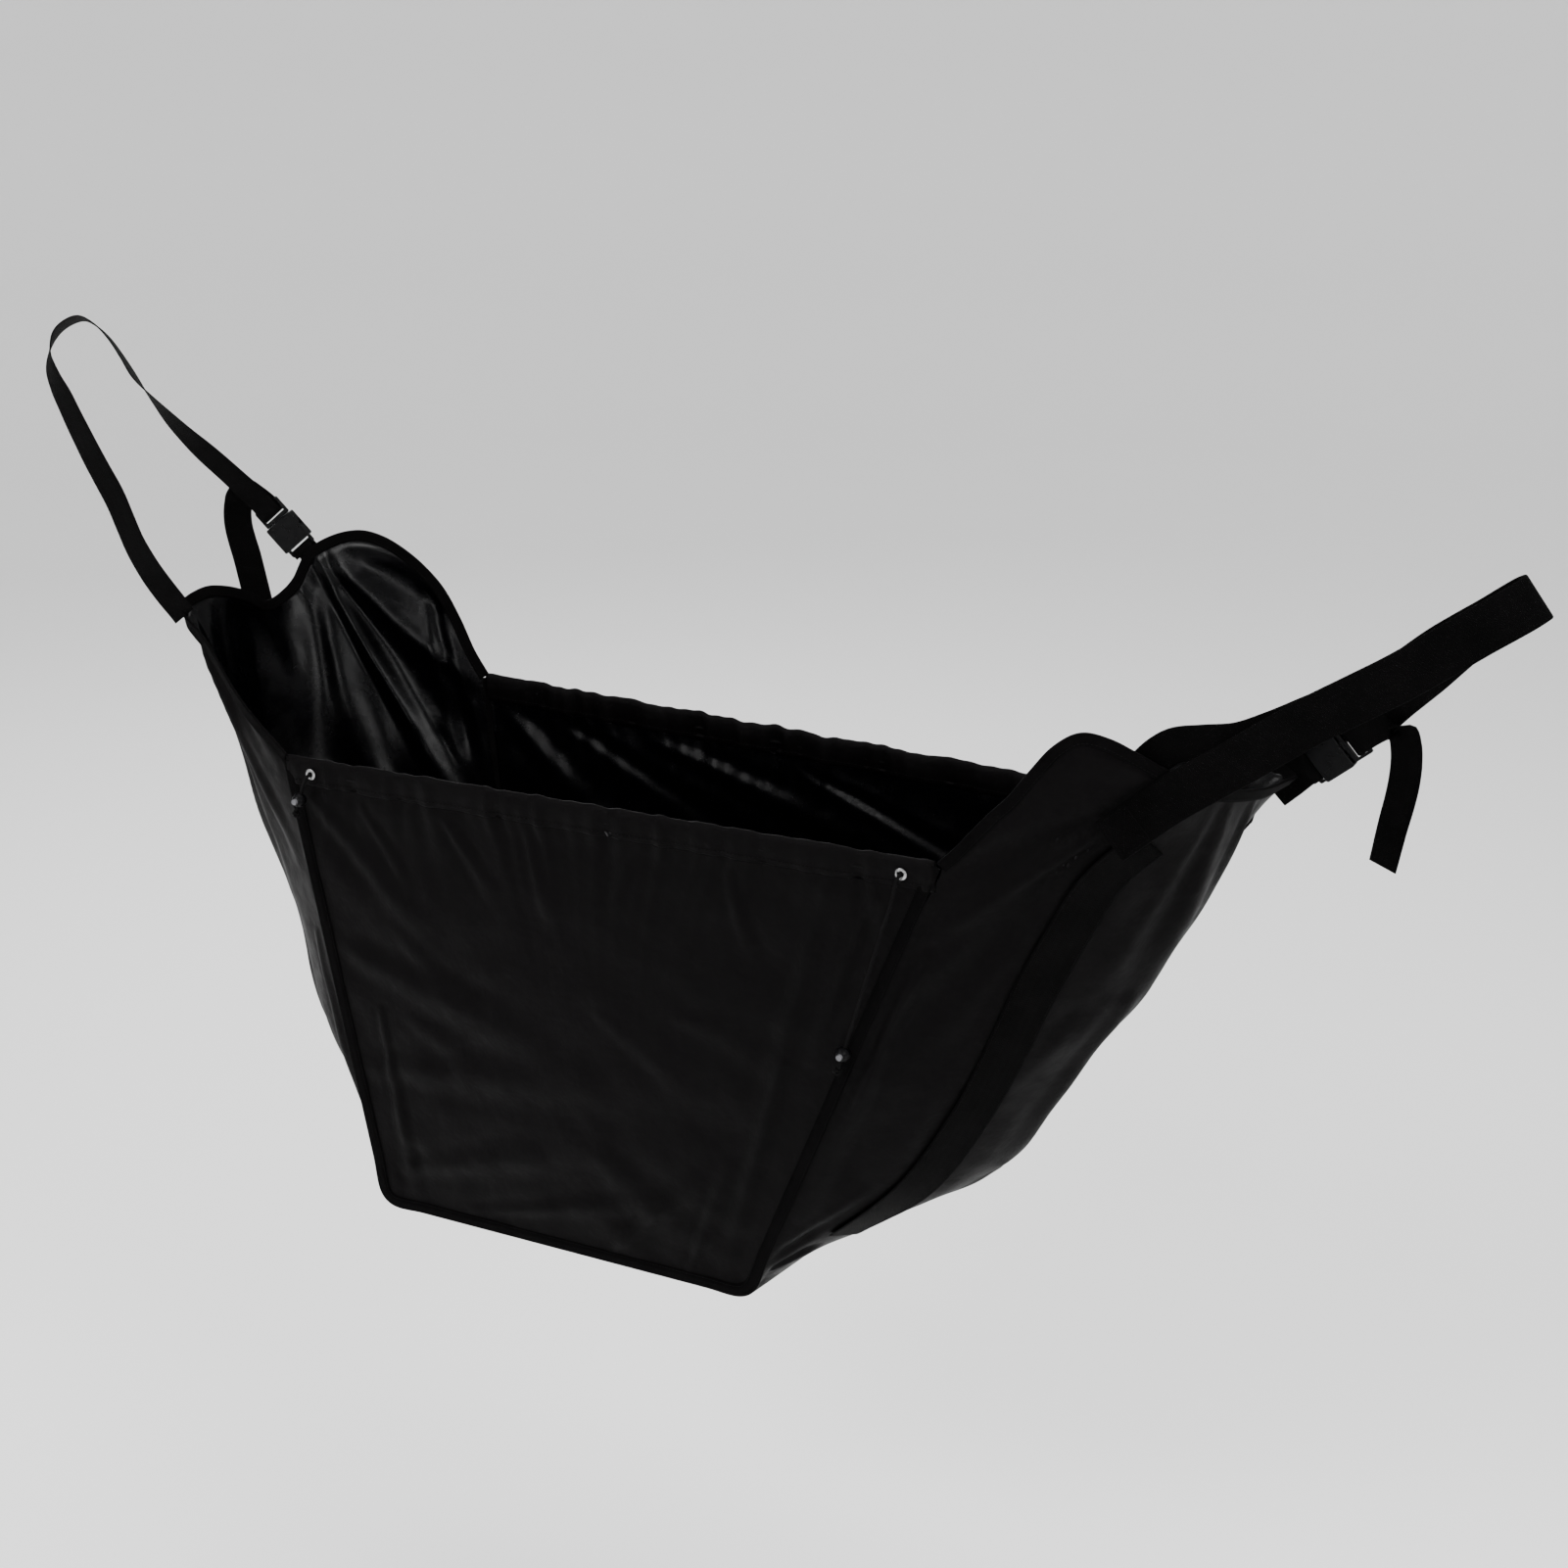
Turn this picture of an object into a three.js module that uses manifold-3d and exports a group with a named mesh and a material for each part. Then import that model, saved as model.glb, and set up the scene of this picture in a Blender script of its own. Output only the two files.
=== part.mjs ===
// A hanging fabric trough. Two strap loops hold it up, one at each end. All sizes are in millimetres.
//
// The model is drawn about the middle of the front rim (X right, Y back, Z up) and is then moved so that
// the inside of the left strap loop's apex, where the trough hangs from its hook, is at the origin.

import * as THREE from 'three';
import { mergeVertices } from 'three/addons/utils/BufferGeometryUtils.js';
import Module from 'manifold-3d';

const wasm = await Module();
wasm.setup();

// ---- Driving dimensions: the fabric shell ----
const RIM_LENGTH = 860; // front rim, seam to seam
const RIM_WIDTH = 330; // front rim to back rim
const FLOOR_LENGTH = 532; // front lower edge, seam to seam
const FLOOR_WIDTH = 260; // front lower edge to back lower edge
const FLOOR_SHIFT = -83; // the floor hangs nearer to the left loop
const DEPTH = 615; // rim down to floor
const BACK_RIM_SHIFT = { left: 76, right: 50 }; // the back face hangs a little to the right
const BACK_FLOOR_SHIFT = { left: 79, right: 47 };
const BACK_RIM_RISE = { left: 28, right: -5 };
const PANEL_BELLY = 12; // outward bulge of the front and back panels
const FLOOR_SAG = 6;
const FABRIC = 1.2; // coated cloth with its seam allowance
const SEAM_INSET = 1.6; // panel edges stop this far short of a seam line

// ---- Driving dimensions: hems, tapes and webbing ----
const HEM_HEIGHT = 32;
const HEM_THICKNESS = 8;
const HEM_WALL = 1.2;
const BINDING_WIDTH = 12;
const BINDING_THICKNESS = 2;
const EDGE_TAPE_WIDTH = 10;
const EDGE_TAPE_THICKNESS = 3;
const EDGE_TAPE_GAP = 4; // the cloth ends this far below the tape
const WIDE_WEBBING = 50;
const NARROW_WEBBING = 38;
const WEBBING_THICKNESS = 1.6;
const LAP_GAP = 0.6; // between layers that are sewn face to face

// ---- Driving dimensions: drawcords and their fittings ----
const CORD = 4;
const CORD_CLEARANCE = 0.35; // all round a cord in a hole
const EYELET_BORE = 7;
const EYELET_BARREL_WALL = 0.6;
const EYELET_RIM = 14;
const EYELET_FROM_SEAM = 36;
const EYELET_BELOW_RIM = 20;
const LOCK_BALL = 18;
const LOCK_BORE = 7.6; // blind bore that the plunger slides in
const PLUNGER = 7;
const PLUNGER_TRAVEL = 2.5;
const PLUNGER_END_WALL = 1; // beyond the plunger's cord slot
const SPRING_WIRE = 0.7;
const SPRING_TURNS = 2.5;
const KNOT = 9;
const LOCK_ABOVE_KNOT = { front_left: 20, front_right: 25, back_left: 25, back_right: 25 };

// ---- Driving dimensions: side-release buckles ----
const BUCKLE_WIDTH = 50;
const BUCKLE_THICKNESS = 12;
const SOCKET_LENGTH = 40;
const SOCKET_WALL = 2.2;
const BUCKLE_BAR = 4.5; // bars that webbing turns round
const WEBBING_SLOT = 5.5; // gap beside a bar
const PLUG_ROOT = 6; // solid root that the guide and the latch arms grow from
const GUIDE_WIDTH = 12;
const GUIDE_LENGTH = 25;
const LATCH_ARM = 5;
const FIT = 0.4; // running clearance of the plug in its socket

const FINISHES = {
  cloth: { color: 0x131416, roughness: 0.62, metalness: 0 },
  tape: { color: 0x0d0d0f, roughness: 0.8, metalness: 0 },
  webbing: { color: 0x111113, roughness: 0.75, metalness: 0 },
  cord: { color: 0x0f0f10, roughness: 0.85, metalness: 0 },
  plastic: { color: 0x0b0b0c, roughness: 0.35, metalness: 0 },
  button: { color: 0x6c6c6e, roughness: 0.4, metalness: 0 },
  steel: { color: 0xb9bbbd, roughness: 0.25, metalness: 1 },
};

const trough = new THREE.Group();

/** Adds a named piece with its finish to a group. */
function add(parent, name, geometry, finish) {
  const mesh = new THREE.Mesh(geometry, new THREE.MeshStandardMaterial(FINISHES[finish]));
  mesh.name = name;
  parent.add(mesh);
  return mesh;
}

const at = (x, y, z) => new THREE.Vector3(x, y, z);
const sideName = (side) => (side < 0 ? 'left' : 'right');
const faceName = (face) => (face < 0 ? 'front' : 'back');

// ---- Closed solids from grids and rings of points ----

/** Six times the signed volume of an indexed mesh: negative when its faces point inwards. */
function signedVolume(points, faces) {
  let total = 0;
  for (const [a, b, c] of faces) {
    total += points[a].dot(points[b].clone().cross(points[c]));
  }
  return total;
}

/** A geometry from points and triangles, turned so that its faces point outwards. */
function closedGeometry(points, faces) {
  const inward = signedVolume(points, faces) < 0;
  const geometry = new THREE.BufferGeometry().setFromPoints(points);
  geometry.setIndex(faces.flatMap(([a, b, c]) => (inward ? [a, c, b] : [a, b, c])));
  geometry.computeVertexNormals();
  return geometry;
}

/** Joins two equal point loops with a band of triangles. */
function bandFaces(first, second, count) {
  const faces = [];
  for (let i = 0; i < count; i += 1) {
    const next = (i + 1) % count;
    faces.push([first + i, first + next, second + next]);
    faces.push([first + i, second + next, second + i]);
  }
  return faces;
}

/** A solid through a row of convex rings with equal point counts, closed by a flat cap at each end. */
function ringSolid(rings) {
  const count = rings[0].length;
  const faces = [];
  for (let r = 0; r + 1 < rings.length; r += 1) {
    faces.push(...bandFaces(r * count, (r + 1) * count, count));
  }
  const last = (rings.length - 1) * count;
  for (let i = 1; i + 1 < count; i += 1) {
    faces.push([0, i + 1, i]);
    faces.push([last, last + i, last + i + 1]);
  }
  return closedGeometry(rings.flat(), faces);
}

/** The unit normal of a point grid at one row and column. */
function gridNormal(grid, r, c) {
  const up = grid[Math.max(r - 1, 0)][c];
  const down = grid[Math.min(r + 1, grid.length - 1)][c];
  const before = grid[r][Math.max(c - 1, 0)];
  const after = grid[r][Math.min(c + 1, grid[r].length - 1)];
  return after.clone().sub(before).cross(down.clone().sub(up)).normalize();
}

/** A copy of a grid, moved along its normals, towards the side that outward points to. */
function offsetGrid(grid, distance, outward) {
  const middle = gridNormal(grid, Math.floor(grid.length / 2), Math.floor(grid[0].length / 2));
  const sign = Math.sign(middle.dot(outward));
  return grid.map((row, r) => row.map((point, c) => (
    point.clone().addScaledVector(gridNormal(grid, r, c), sign * distance)
  )));
}

/** A closed sheet between two matching grids of points. */
function sheetSolid(outer, inner) {
  const rows = outer.length;
  const columns = outer[0].length;
  const offset = rows * columns;
  const faces = [];
  for (let r = 0; r + 1 < rows; r += 1) {
    for (let c = 0; c + 1 < columns; c += 1) {
      const a = r * columns + c;
      const corners = [a, a + 1, a + columns + 1, a + columns];
      faces.push([corners[0], corners[1], corners[2]], [corners[0], corners[2], corners[3]]);
      const back = corners.map((corner) => corner + offset);
      faces.push([back[0], back[2], back[1]], [back[0], back[3], back[2]]);
    }
  }
  const border = borderLoop(rows, columns);
  border.forEach((a, i) => {
    const b = border[(i + 1) % border.length];
    faces.push([a, a + offset, b + offset], [a, b + offset, b]);
  });
  return closedGeometry([...outer.flat(), ...inner.flat()], faces);
}

/** The indices of a grid's border, in order round the grid. */
function borderLoop(rows, columns) {
  const loop = [];
  for (let c = 0; c < columns - 1; c += 1) loop.push(c);
  for (let r = 0; r < rows - 1; r += 1) loop.push(r * columns + columns - 1);
  for (let c = columns - 1; c > 0; c -= 1) loop.push((rows - 1) * columns + c);
  for (let r = rows - 1; r > 0; r -= 1) loop.push(r * columns);
  return loop;
}

/** A flat tape or webbing through stations of { point, across }, across being its width direction. */
function ribbonSolid(stations, width, thickness) {
  const rings = stations.map(({ point, across }, i) => {
    const before = stations[Math.max(i - 1, 0)].point;
    const after = stations[Math.min(i + 1, stations.length - 1)].point;
    const along = after.clone().sub(before).normalize();
    const wide = across.clone().addScaledVector(along, -across.dot(along)).normalize();
    const thick = along.clone().cross(wide).multiplyScalar(thickness / 2);
    wide.multiplyScalar(width / 2);
    return [[1, 1], [-1, 1], [-1, -1], [1, -1]].map(([w, t]) => (
      point.clone().addScaledVector(wide, w).addScaledVector(thick, t)
    ));
  });
  return ringSolid(rings);
}

/** Smooth ribbon stations through hand-placed ones, with a few steps to each stretch. */
function smoothStations(marks, stepsPerStretch) {
  const curve = new THREE.CatmullRomCurve3(marks.map((mark) => mark.point), false, 'centripetal');
  const stretches = marks.length - 1;
  const total = stretches * stepsPerStretch;
  const stations = [];
  for (let i = 0; i <= total; i += 1) {
    const place = (i / total) * stretches;
    const low = Math.min(Math.floor(place), stretches - 1);
    const across = marks[low].across.clone().lerp(marks[low + 1].across, place - low);
    stations.push({ point: curve.getPoint(i / total), across });
  }
  return stations;
}

/** A round cord along a route of points. */
function cordSolid(route, diameter, steps, sides = 8) {
  const section = new THREE.Shape();
  for (let i = 0; i < sides; i += 1) {
    const angle = (i / sides) * 2 * Math.PI;
    const place = [Math.cos(angle) * diameter / 2, Math.sin(angle) * diameter / 2];
    if (i === 0) section.moveTo(...place);
    else section.lineTo(...place);
  }
  const curve = new THREE.CatmullRomCurve3(route, false, 'centripetal');
  return new THREE.ExtrudeGeometry(section, { steps, extrudePath: curve, bevelEnabled: false });
}

// ---- Booleans ----

/** A three.js geometry as a manifold solid. */
function solid(geometry) {
  const bare = geometry.clone();
  for (const name of ['normal', 'uv']) bare.deleteAttribute(name);
  const merged = mergeVertices(bare, 1e-4);
  return new wasm.Manifold(new wasm.Mesh({
    numProp: 3,
    vertProperties: new Float32Array(merged.attributes.position.array),
    triVerts: new Uint32Array(merged.index.array),
  }));
}

/** A manifold solid as a three.js geometry. */
function geometryOf(manifold) {
  const mesh = manifold.getMesh();
  const geometry = new THREE.BufferGeometry();
  geometry.setAttribute('position', new THREE.BufferAttribute(new Float32Array(mesh.vertProperties), 3));
  geometry.setIndex(new THREE.BufferAttribute(new Uint32Array(mesh.triVerts), 1));
  geometry.computeVertexNormals();
  return geometry;
}

/** One geometry with others cut out of it. */
function cut(base, ...tools) {
  let result = solid(base);
  for (const tool of tools) result = result.subtract(solid(tool));
  return geometryOf(result);
}

/** Several overlapping geometries as one. */
function join(base, ...others) {
  let result = solid(base);
  for (const other of others) result = result.add(solid(other));
  return geometryOf(result);
}

/** A box from its size and centre. */
function box(length, width, height, x = 0, y = 0, z = 0) {
  return new THREE.BoxGeometry(length, width, height).translate(x, y, z);
}

/** A cylinder along Y from its diameter, its ends and its number of sides. */
function rodAlongY(diameter, from, to, sides = 14) {
  const rod = new THREE.CylinderGeometry(diameter / 2, diameter / 2, to - from, sides);
  return rod.translate(0, (from + to) / 2, 0);
}

// ---- The fabric shell's surfaces ----

/** A point on the seam at one end (side) and face, from the rim (v = 0) to the floor (v = 1). */
function seamPoint(side, face, v) {
  const end = sideName(side);
  const back = face > 0;
  const rimX = side * RIM_LENGTH / 2 + (back ? BACK_RIM_SHIFT[end] : 0);
  const floorX = FLOOR_SHIFT + side * FLOOR_LENGTH / 2 + (back ? BACK_FLOOR_SHIFT[end] : 0);
  const rimZ = back ? BACK_RIM_RISE[end] : 0;
  return at(
    THREE.MathUtils.lerp(rimX, floorX, v),
    face * THREE.MathUtils.lerp(RIM_WIDTH, FLOOR_WIDTH, v) / 2,
    THREE.MathUtils.lerp(rimZ, -DEPTH, v),
  );
}

// The shapes of the ends, and the places of what is fixed to them, are drawn for rims and webbing of this
// size.
const DRAWN = { length: 860, width: 330, webbing: 38 };

/** Carries a drawn place at one end along with the rims: out with their length, across with their width. */
function withRims([x, y, z]) {
  return [x + (Math.sign(x) * (RIM_LENGTH - DRAWN.length)) / 2, (y * RIM_WIDTH) / DRAWN.width, z];
}

// How far each end bows out past its seams, at these fractions of the depth.
const BOW_LEVELS = [0.2, 0.45, 0.65, 0.75, 0.87, 1];
const BOW = {
  left: { reach: [205, 167, 153, 101, 45, 0], sharpness: [2, 2, 2, 2, 2, 2] },
  right: { reach: [241, 212, 190, 158, 78, 0], sharpness: [2, 1.45, 1.45, 1.45, 1.45, 1.45] },
};

// Top edge of each end, as [out past the rim corner, across from the middle, up from the rim]: the front
// rim corner, the front ear, the front strap point, the end's lip, the back strap point, the back ear and
// the back rim corner.
const LIP = {
  left: [
    [77, -150, 57], [143, -130, 122], [185, -118, 158], [178, -85, 172], [176, -45, 166], [176, 0, 149],
    [183, 45, 126], [182, 95, 140], [164, 120, 184], [90, 144, 209], [-5, 158, 155],
  ],
  right: [
    [70, -160, 82], [142, -150, 158], [228, -120, 122], [250, -85, 100], [270, -40, 82], [284, 0, 72],
    [296, 40, 64], [306, 85, 60], [308, 120, 57], [230, 148, 78], [140, 160, 48],
  ],
};

/** The top edge of one end, front seam to back seam, as a smooth curve. */
function lipCurve(side) {
  const places = LIP[sideName(side)].map(([out, across, up]) => (
    at(side * (RIM_LENGTH / 2 + out), (across * RIM_WIDTH) / DRAWN.width, up)
  ));
  const route = [seamPoint(side, -1, 0), ...places, seamPoint(side, 1, 0)];
  return new THREE.CatmullRomCurve3(route, false, 'centripetal');
}
const LIP_CURVE = { left: lipCurve(-1), right: lipCurve(1) };

/** A point on the bowed end below the rim, u from front seam to back seam. */
function bowPoint(side, u, level) {
  const { reach, sharpness } = BOW[sideName(side)];
  const turn = (2 * u - 1) * Math.PI / 2;
  const v = BOW_LEVELS[level];
  const point = seamPoint(side, -1, v).lerp(seamPoint(side, 1, v), (1 + Math.sin(turn)) / 2);
  point.x += side * reach[level] * Math.max(Math.cos(turn), 0) ** sharpness[level];
  return point;
}

/** The line down one end at u, from its lip (t = 0) to the floor (t = 1). */
function ribCurve(side, u) {
  const places = BOW_LEVELS.map((v, level) => bowPoint(side, u, level));
  const route = [LIP_CURVE[sideName(side)].getPoint(u), ...places];
  return new THREE.CatmullRomCurve3(route, false, 'centripetal');
}

/** The direction down a rib at the lip, and how far along it a tape's unit width reaches. */
function lipFrame(side, u) {
  const step = 0.005;
  const lip = LIP_CURVE[sideName(side)];
  const rib = ribCurve(side, u);
  const down = rib.getPoint(step).sub(rib.getPoint(0));
  const speed = down.length() / step;
  down.normalize();
  const along = lip.getPoint(Math.min(u + step, 1)).sub(lip.getPoint(Math.max(u - step, 0))).normalize();
  return { rib, down, along, speed, stretch: 1 / down.clone().cross(along).length() };
}

/** A grid of points on one end: columns at the given u, rows at the given shares of the way down. */
function endGrid(side, across, down) {
  const frames = across.map((u) => lipFrame(side, u));
  const tops = frames.map(({ speed, stretch }) => (EDGE_TAPE_WIDTH + EDGE_TAPE_GAP) * stretch / speed);
  return down.map((share) => frames.map(({ rib }, i) => rib.getPoint(tops[i] + (1 - tops[i]) * share)));
}

/** Evenly spaced numbers from one value to another. */
function spaced(from, to, steps) {
  return Array.from({ length: steps + 1 }, (_, i) => from + ((to - from) * i) / steps);
}

/** A sheet of cloth about a grid of points. */
function clothSheet(grid, outward) {
  return sheetSolid(offsetGrid(grid, FABRIC / 2, outward), offsetGrid(grid, -FABRIC / 2, outward));
}

// Where an end's grid has its columns and rows: closer together where the surface turns faster.
const END_ACROSS = [
  ...spaced(0.012, 0.22, 5), ...spaced(0.25, 0.6, 6), ...spaced(0.64, 0.8, 6), ...spaced(0.84, 0.988, 4),
];
const END_DOWN = [...spaced(0, 0.95, 16), 0.995];

// The bands sewn down the right end: places across it, how far below the lip they start, and their end
// as a share of the way down.
const SLING_PLACE = { front: 0.28, back: 0.69 };
const SLING_BELOW_LIP = 55;
const SLING_END = 0.9; // they stop where the end turns under
const SLING_GAP = 4.6; // clears the cloth where the end hollows between its nose and its strap point

/** The outward direction of an end, or of the front or back face. */
const endOutward = (side) => at(side, 0, 0);
const faceOutward = (face) => at(0, face, 0);

/** A point on the front or back panel, u from its left seam to its right one. */
function panelPoint(face, u, v) {
  const left = seamPoint(-1, face, v);
  const right = seamPoint(1, face, v);
  const point = left.lerp(right, u);
  point.y += face * PANEL_BELLY * Math.sin(Math.PI * u) * Math.sin(Math.PI * v);
  return point;
}

/** One end panel of the shell. */
function addEndPanel(side) {
  const grid = endGrid(side, END_ACROSS, END_DOWN);
  add(trough, `${sideName(side)}_end_panel`, clothSheet(grid, endOutward(side)), 'cloth');
}

/** The front or back panel below its hem. */
function addFacePanel(face) {
  const top = (HEM_HEIGHT + LAP_GAP) / DEPTH;
  const rows = spaced(top, 1 - SEAM_INSET / DEPTH, 10);
  const inset = SEAM_INSET / FLOOR_LENGTH;
  const columns = spaced(inset, 1 - inset, 12);
  const grid = rows.map((v) => columns.map((u) => panelPoint(face, u, v)));
  add(trough, `${faceName(face)}_panel`, clothSheet(grid, faceOutward(face)), 'cloth');
}

/** The floor panel between the two ends. */
function addFloorPanel() {
  const along = spaced(SEAM_INSET / FLOOR_LENGTH, 1 - SEAM_INSET / FLOOR_LENGTH, 10);
  const across = spaced(SEAM_INSET / FLOOR_WIDTH, 1 - SEAM_INSET / FLOOR_WIDTH, 6);
  const corners = (face) => [seamPoint(-1, face, 1), seamPoint(1, face, 1)];
  const [frontLeft, frontRight] = corners(-1);
  const [backLeft, backRight] = corners(1);
  const grid = across.map((w) => along.map((u) => {
    const point = frontLeft.clone().lerp(frontRight, u).lerp(backLeft.clone().lerp(backRight, u), w);
    point.z -= FLOOR_SAG * Math.sin(Math.PI * u) * Math.sin(Math.PI * w);
    return point;
  }));
  add(trough, 'floor_panel', clothSheet(grid, at(0, 0, -1)), 'cloth');
}

// ---- Hems with their drawcord tunnels ----

const TUNNEL = HEM_THICKNESS - 2 * HEM_WALL;
const hemCentreY = (face) => face * RIM_WIDTH / 2;
const hemOuterY = (face) => face * (RIM_WIDTH + HEM_THICKNESS) / 2;

/** The x and z of a place on a face's rim, from its left seam to its right one. */
function rimPlace(face, u, below) {
  const point = seamPoint(-1, face, below / DEPTH).lerp(seamPoint(1, face, below / DEPTH), u);
  return { x: point.x, z: point.z };
}

/** The eyelet's place on a face near one end. */
function eyeletPlace(face, side) {
  const fraction = EYELET_FROM_SEAM / RIM_LENGTH;
  return rimPlace(face, side < 0 ? fraction : 1 - fraction, EYELET_BELOW_RIM);
}

/** A ring round the hem's section at one place along the rim: a round top over straight sides. */
function hemRing(face, u, width, inset) {
  const half = width / 2;
  const crown = spaced(Math.PI, 0, 6).map((angle) => [half * Math.cos(angle), half * (1 - Math.sin(angle))]);
  const outline = [...crown, [half, HEM_HEIGHT - 2 * inset], [-half, HEM_HEIGHT - 2 * inset]];
  return outline.map(([out, below]) => {
    const { x, z } = rimPlace(face, u, inset + below);
    return at(x, hemCentreY(face) + out, z);
  });
}

/** The folded hem of one face: a tunnel that is open at both ends, with a hole for each eyelet. */
function addHem(face) {
  const inset = (BINDING_WIDTH / 2 + SEAM_INSET) / RIM_LENGTH;
  const outer = ringSolid(spaced(inset, 1 - inset, 10).map((u) => hemRing(face, u, HEM_THICKNESS, 0)));
  const tunnel = ringSolid([-0.01, 1.01].map((u) => hemRing(face, u, TUNNEL, HEM_WALL)));
  const hole = EYELET_BORE + 2 * EYELET_BARREL_WALL + 2 * CORD_CLEARANCE;
  const ends = [hemCentreY(face), hemOuterY(face) + face * HEM_THICKNESS].sort((a, b) => a - b);
  const holes = [-1, 1].map((side) => {
    const { x, z } = eyeletPlace(face, side);
    return rodAlongY(hole, ...ends).translate(x, 0, z);
  });
  add(trough, `${faceName(face)}_hem`, cut(outer, tunnel, ...holes), 'cloth');
}

/** A rolled metal eyelet in the hem's outer wall: flange, barrel and clenched inner rim in one profile. */
function addEyelet(face, side) {
  const bore = EYELET_BORE / 2;
  const barrel = bore + EYELET_BARREL_WALL;
  const rim = EYELET_RIM / 2;
  const wall = HEM_WALL / 2 + 0.3; // half of the wall, with its gap
  const flange = 0.8;
  const profile = [
    [bore, -wall - 0.6], [bore, wall + flange], [bore + 1, wall + flange + 0.4], [rim - 1, wall + flange],
    [rim, wall], [barrel, wall], [barrel, -wall], [rim - 1.6, -wall], [bore, -wall - 0.6],
  ].map(([r, h]) => new THREE.Vector2(r, h));
  const ring = new THREE.LatheGeometry(profile.reverse(), 14);
  if (face < 0) ring.rotateX(Math.PI);
  const { x, z } = eyeletPlace(face, side);
  const eyelet = add(trough, `${faceName(face)}_${sideName(side)}_eyelet`, ring, 'steel');
  eyelet.position.set(x, hemOuterY(face) - face * HEM_WALL / 2, z);
}

// ---- Tapes along the seams and lips ----

/** The tape that covers the seams round the front or back panel, down, along and up again. */
function addSeamBinding(face) {
  const lift = FABRIC + LAP_GAP + BINDING_THICKNESS / 2;
  const route = [
    ...spaced(0.012, 1, 5).map((v) => [seamPoint(-1, face, v), at(-0.15, face * 0.99, 0)]),
    [panelPoint(face, 0.06, 1), at(-0.05, face * 0.9, -0.42)],
    ...spaced(0.2, 0.8, 3).map((u) => [panelPoint(face, u, 1), at(0, face * 0.7, -0.7)]),
    [panelPoint(face, 0.94, 1), at(0.05, face * 0.9, -0.42)],
    ...spaced(1, 0.012, 5).map((v) => [seamPoint(1, face, v), at(0.15, face * 0.99, 0)]),
  ];
  const points = route.map(([point, out]) => point.clone().addScaledVector(out, lift));
  const stations = points.map((point, i) => {
    const along = points[Math.min(i + 1, points.length - 1)].clone().sub(points[Math.max(i - 1, 0)]);
    return { point, across: along.normalize().cross(route[i][1]) };
  });
  const binding = ribbonSolid(stations, BINDING_WIDTH, BINDING_THICKNESS);
  add(trough, `${faceName(face)}_seam_binding`, binding, 'tape');
}

/** The tape folded over the top edge of one end, ears included. */
function addLipBinding(side) {
  const stations = spaced(0.03, 0.97, 40).map((u) => {
    const { rib, down, stretch } = lipFrame(side, u);
    const point = rib.getPoint(0).addScaledVector(down, stretch * EDGE_TAPE_WIDTH / 2);
    return { point, across: down };
  });
  const binding = ribbonSolid(stations, EDGE_TAPE_WIDTH, EDGE_TAPE_THICKNESS);
  add(trough, `${sideName(side)}_lip_binding`, binding, 'tape');
}

// ---- Webbing sewn down the right end ----

/** A band of webbing that follows an end's surface down the line at u. */
function addSlingBand(face) {
  const side = 1;
  const centre = face < 0 ? SLING_PLACE.front : SLING_PLACE.back;
  const { speed } = lipFrame(side, centre);
  const top = SLING_BELOW_LIP / speed;
  const lift = FABRIC / 2 + SLING_GAP + WEBBING_THICKNESS / 2;
  const step = 0.01;
  const grid = spaced(top, SLING_END, 15).map((t) => {
    const before = ribCurve(side, centre - step).getPoint(t);
    const after = ribCurve(side, centre + step).getPoint(t);
    const halfWidth = (WIDE_WEBBING / 2) * (2 * step / after.distanceTo(before));
    return spaced(centre - halfWidth, centre + halfWidth, 2).map((u) => ribCurve(side, u).getPoint(t));
  });
  const outer = offsetGrid(grid, lift + WEBBING_THICKNESS / 2, endOutward(side));
  const inner = offsetGrid(grid, lift - WEBBING_THICKNESS / 2, endOutward(side));
  add(trough, `${faceName(face)}_sling_band`, sheetSolid(outer, inner), 'webbing');
}

// ---- Loops of webbing ----

/** Stations from rows of [x, y, z] and a width direction [x, y, z]. */
function marksFrom(rows) {
  return rows.map(([point, across]) => ({ point: at(...point), across: at(...across) }));
}

// Wider webbing than the drawn one stands this much further off what it passes.
const EXTRA_OFF = (NARROW_WEBBING - DRAWN.webbing) / 3;

/** Rows whose places move away from the trough's middle plane, or towards it. */
function movedOut(rows, by) {
  return rows.map(([[x, y, z], across]) => [[x, y + Math.sign(y) * by, z], across]);
}

/** Stations from rows that are drawn on an end. */
const marksOnEnd = (rows) => marksFrom(rows.map(([point, across]) => [withRims(point), across]));

// The wide handle loop: sewn on outside the front corner, out to its tip, and back to the back corner.
const LOOP_ACROSS = [-0.6, 0, 0.8];
const HANDLE_ROUTE = [
  [604, -134, 40], [640, -129, 72], [668, -126, 96], [722, -113, 134], [790, -88, 182], [868, -60, 230],
  [935, -36, 278], [972, -18, 303], [985, 0, 312], [974, 17, 304], [940, 34, 275], [890, 62, 233],
  [840, 101, 182], [800, 121, 142], [768, 134, 112], [744, 138, 82], [716, 141, 48],
].map((point) => [point, LOOP_ACROSS]);

// A buckle's place: its bar, its direction from the bar to the plug, and its width direction.
const BUCKLES = {
  left: { bar: [-611, 126, 181], along: [-0.6, -0.225, 0.766], across: [0.78, 0, 0.62] },
  right: { bar: [752, 126, 66], along: [0.73, -0.2, 0.657], across: [-0.67, 0, 0.74] },
};

/** A buckle's frame: X from bar to plug, Y across the webbing, Z through its thickness. */
function buckleFrame(end) {
  const { bar, along, across } = BUCKLES[end];
  const x = at(...along).normalize();
  const y = at(...across).addScaledVector(x, -at(...across).dot(x)).normalize();
  return new THREE.Matrix4().makeBasis(x, y, x.clone().cross(y)).setPosition(...withRims(bar));
}

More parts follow.
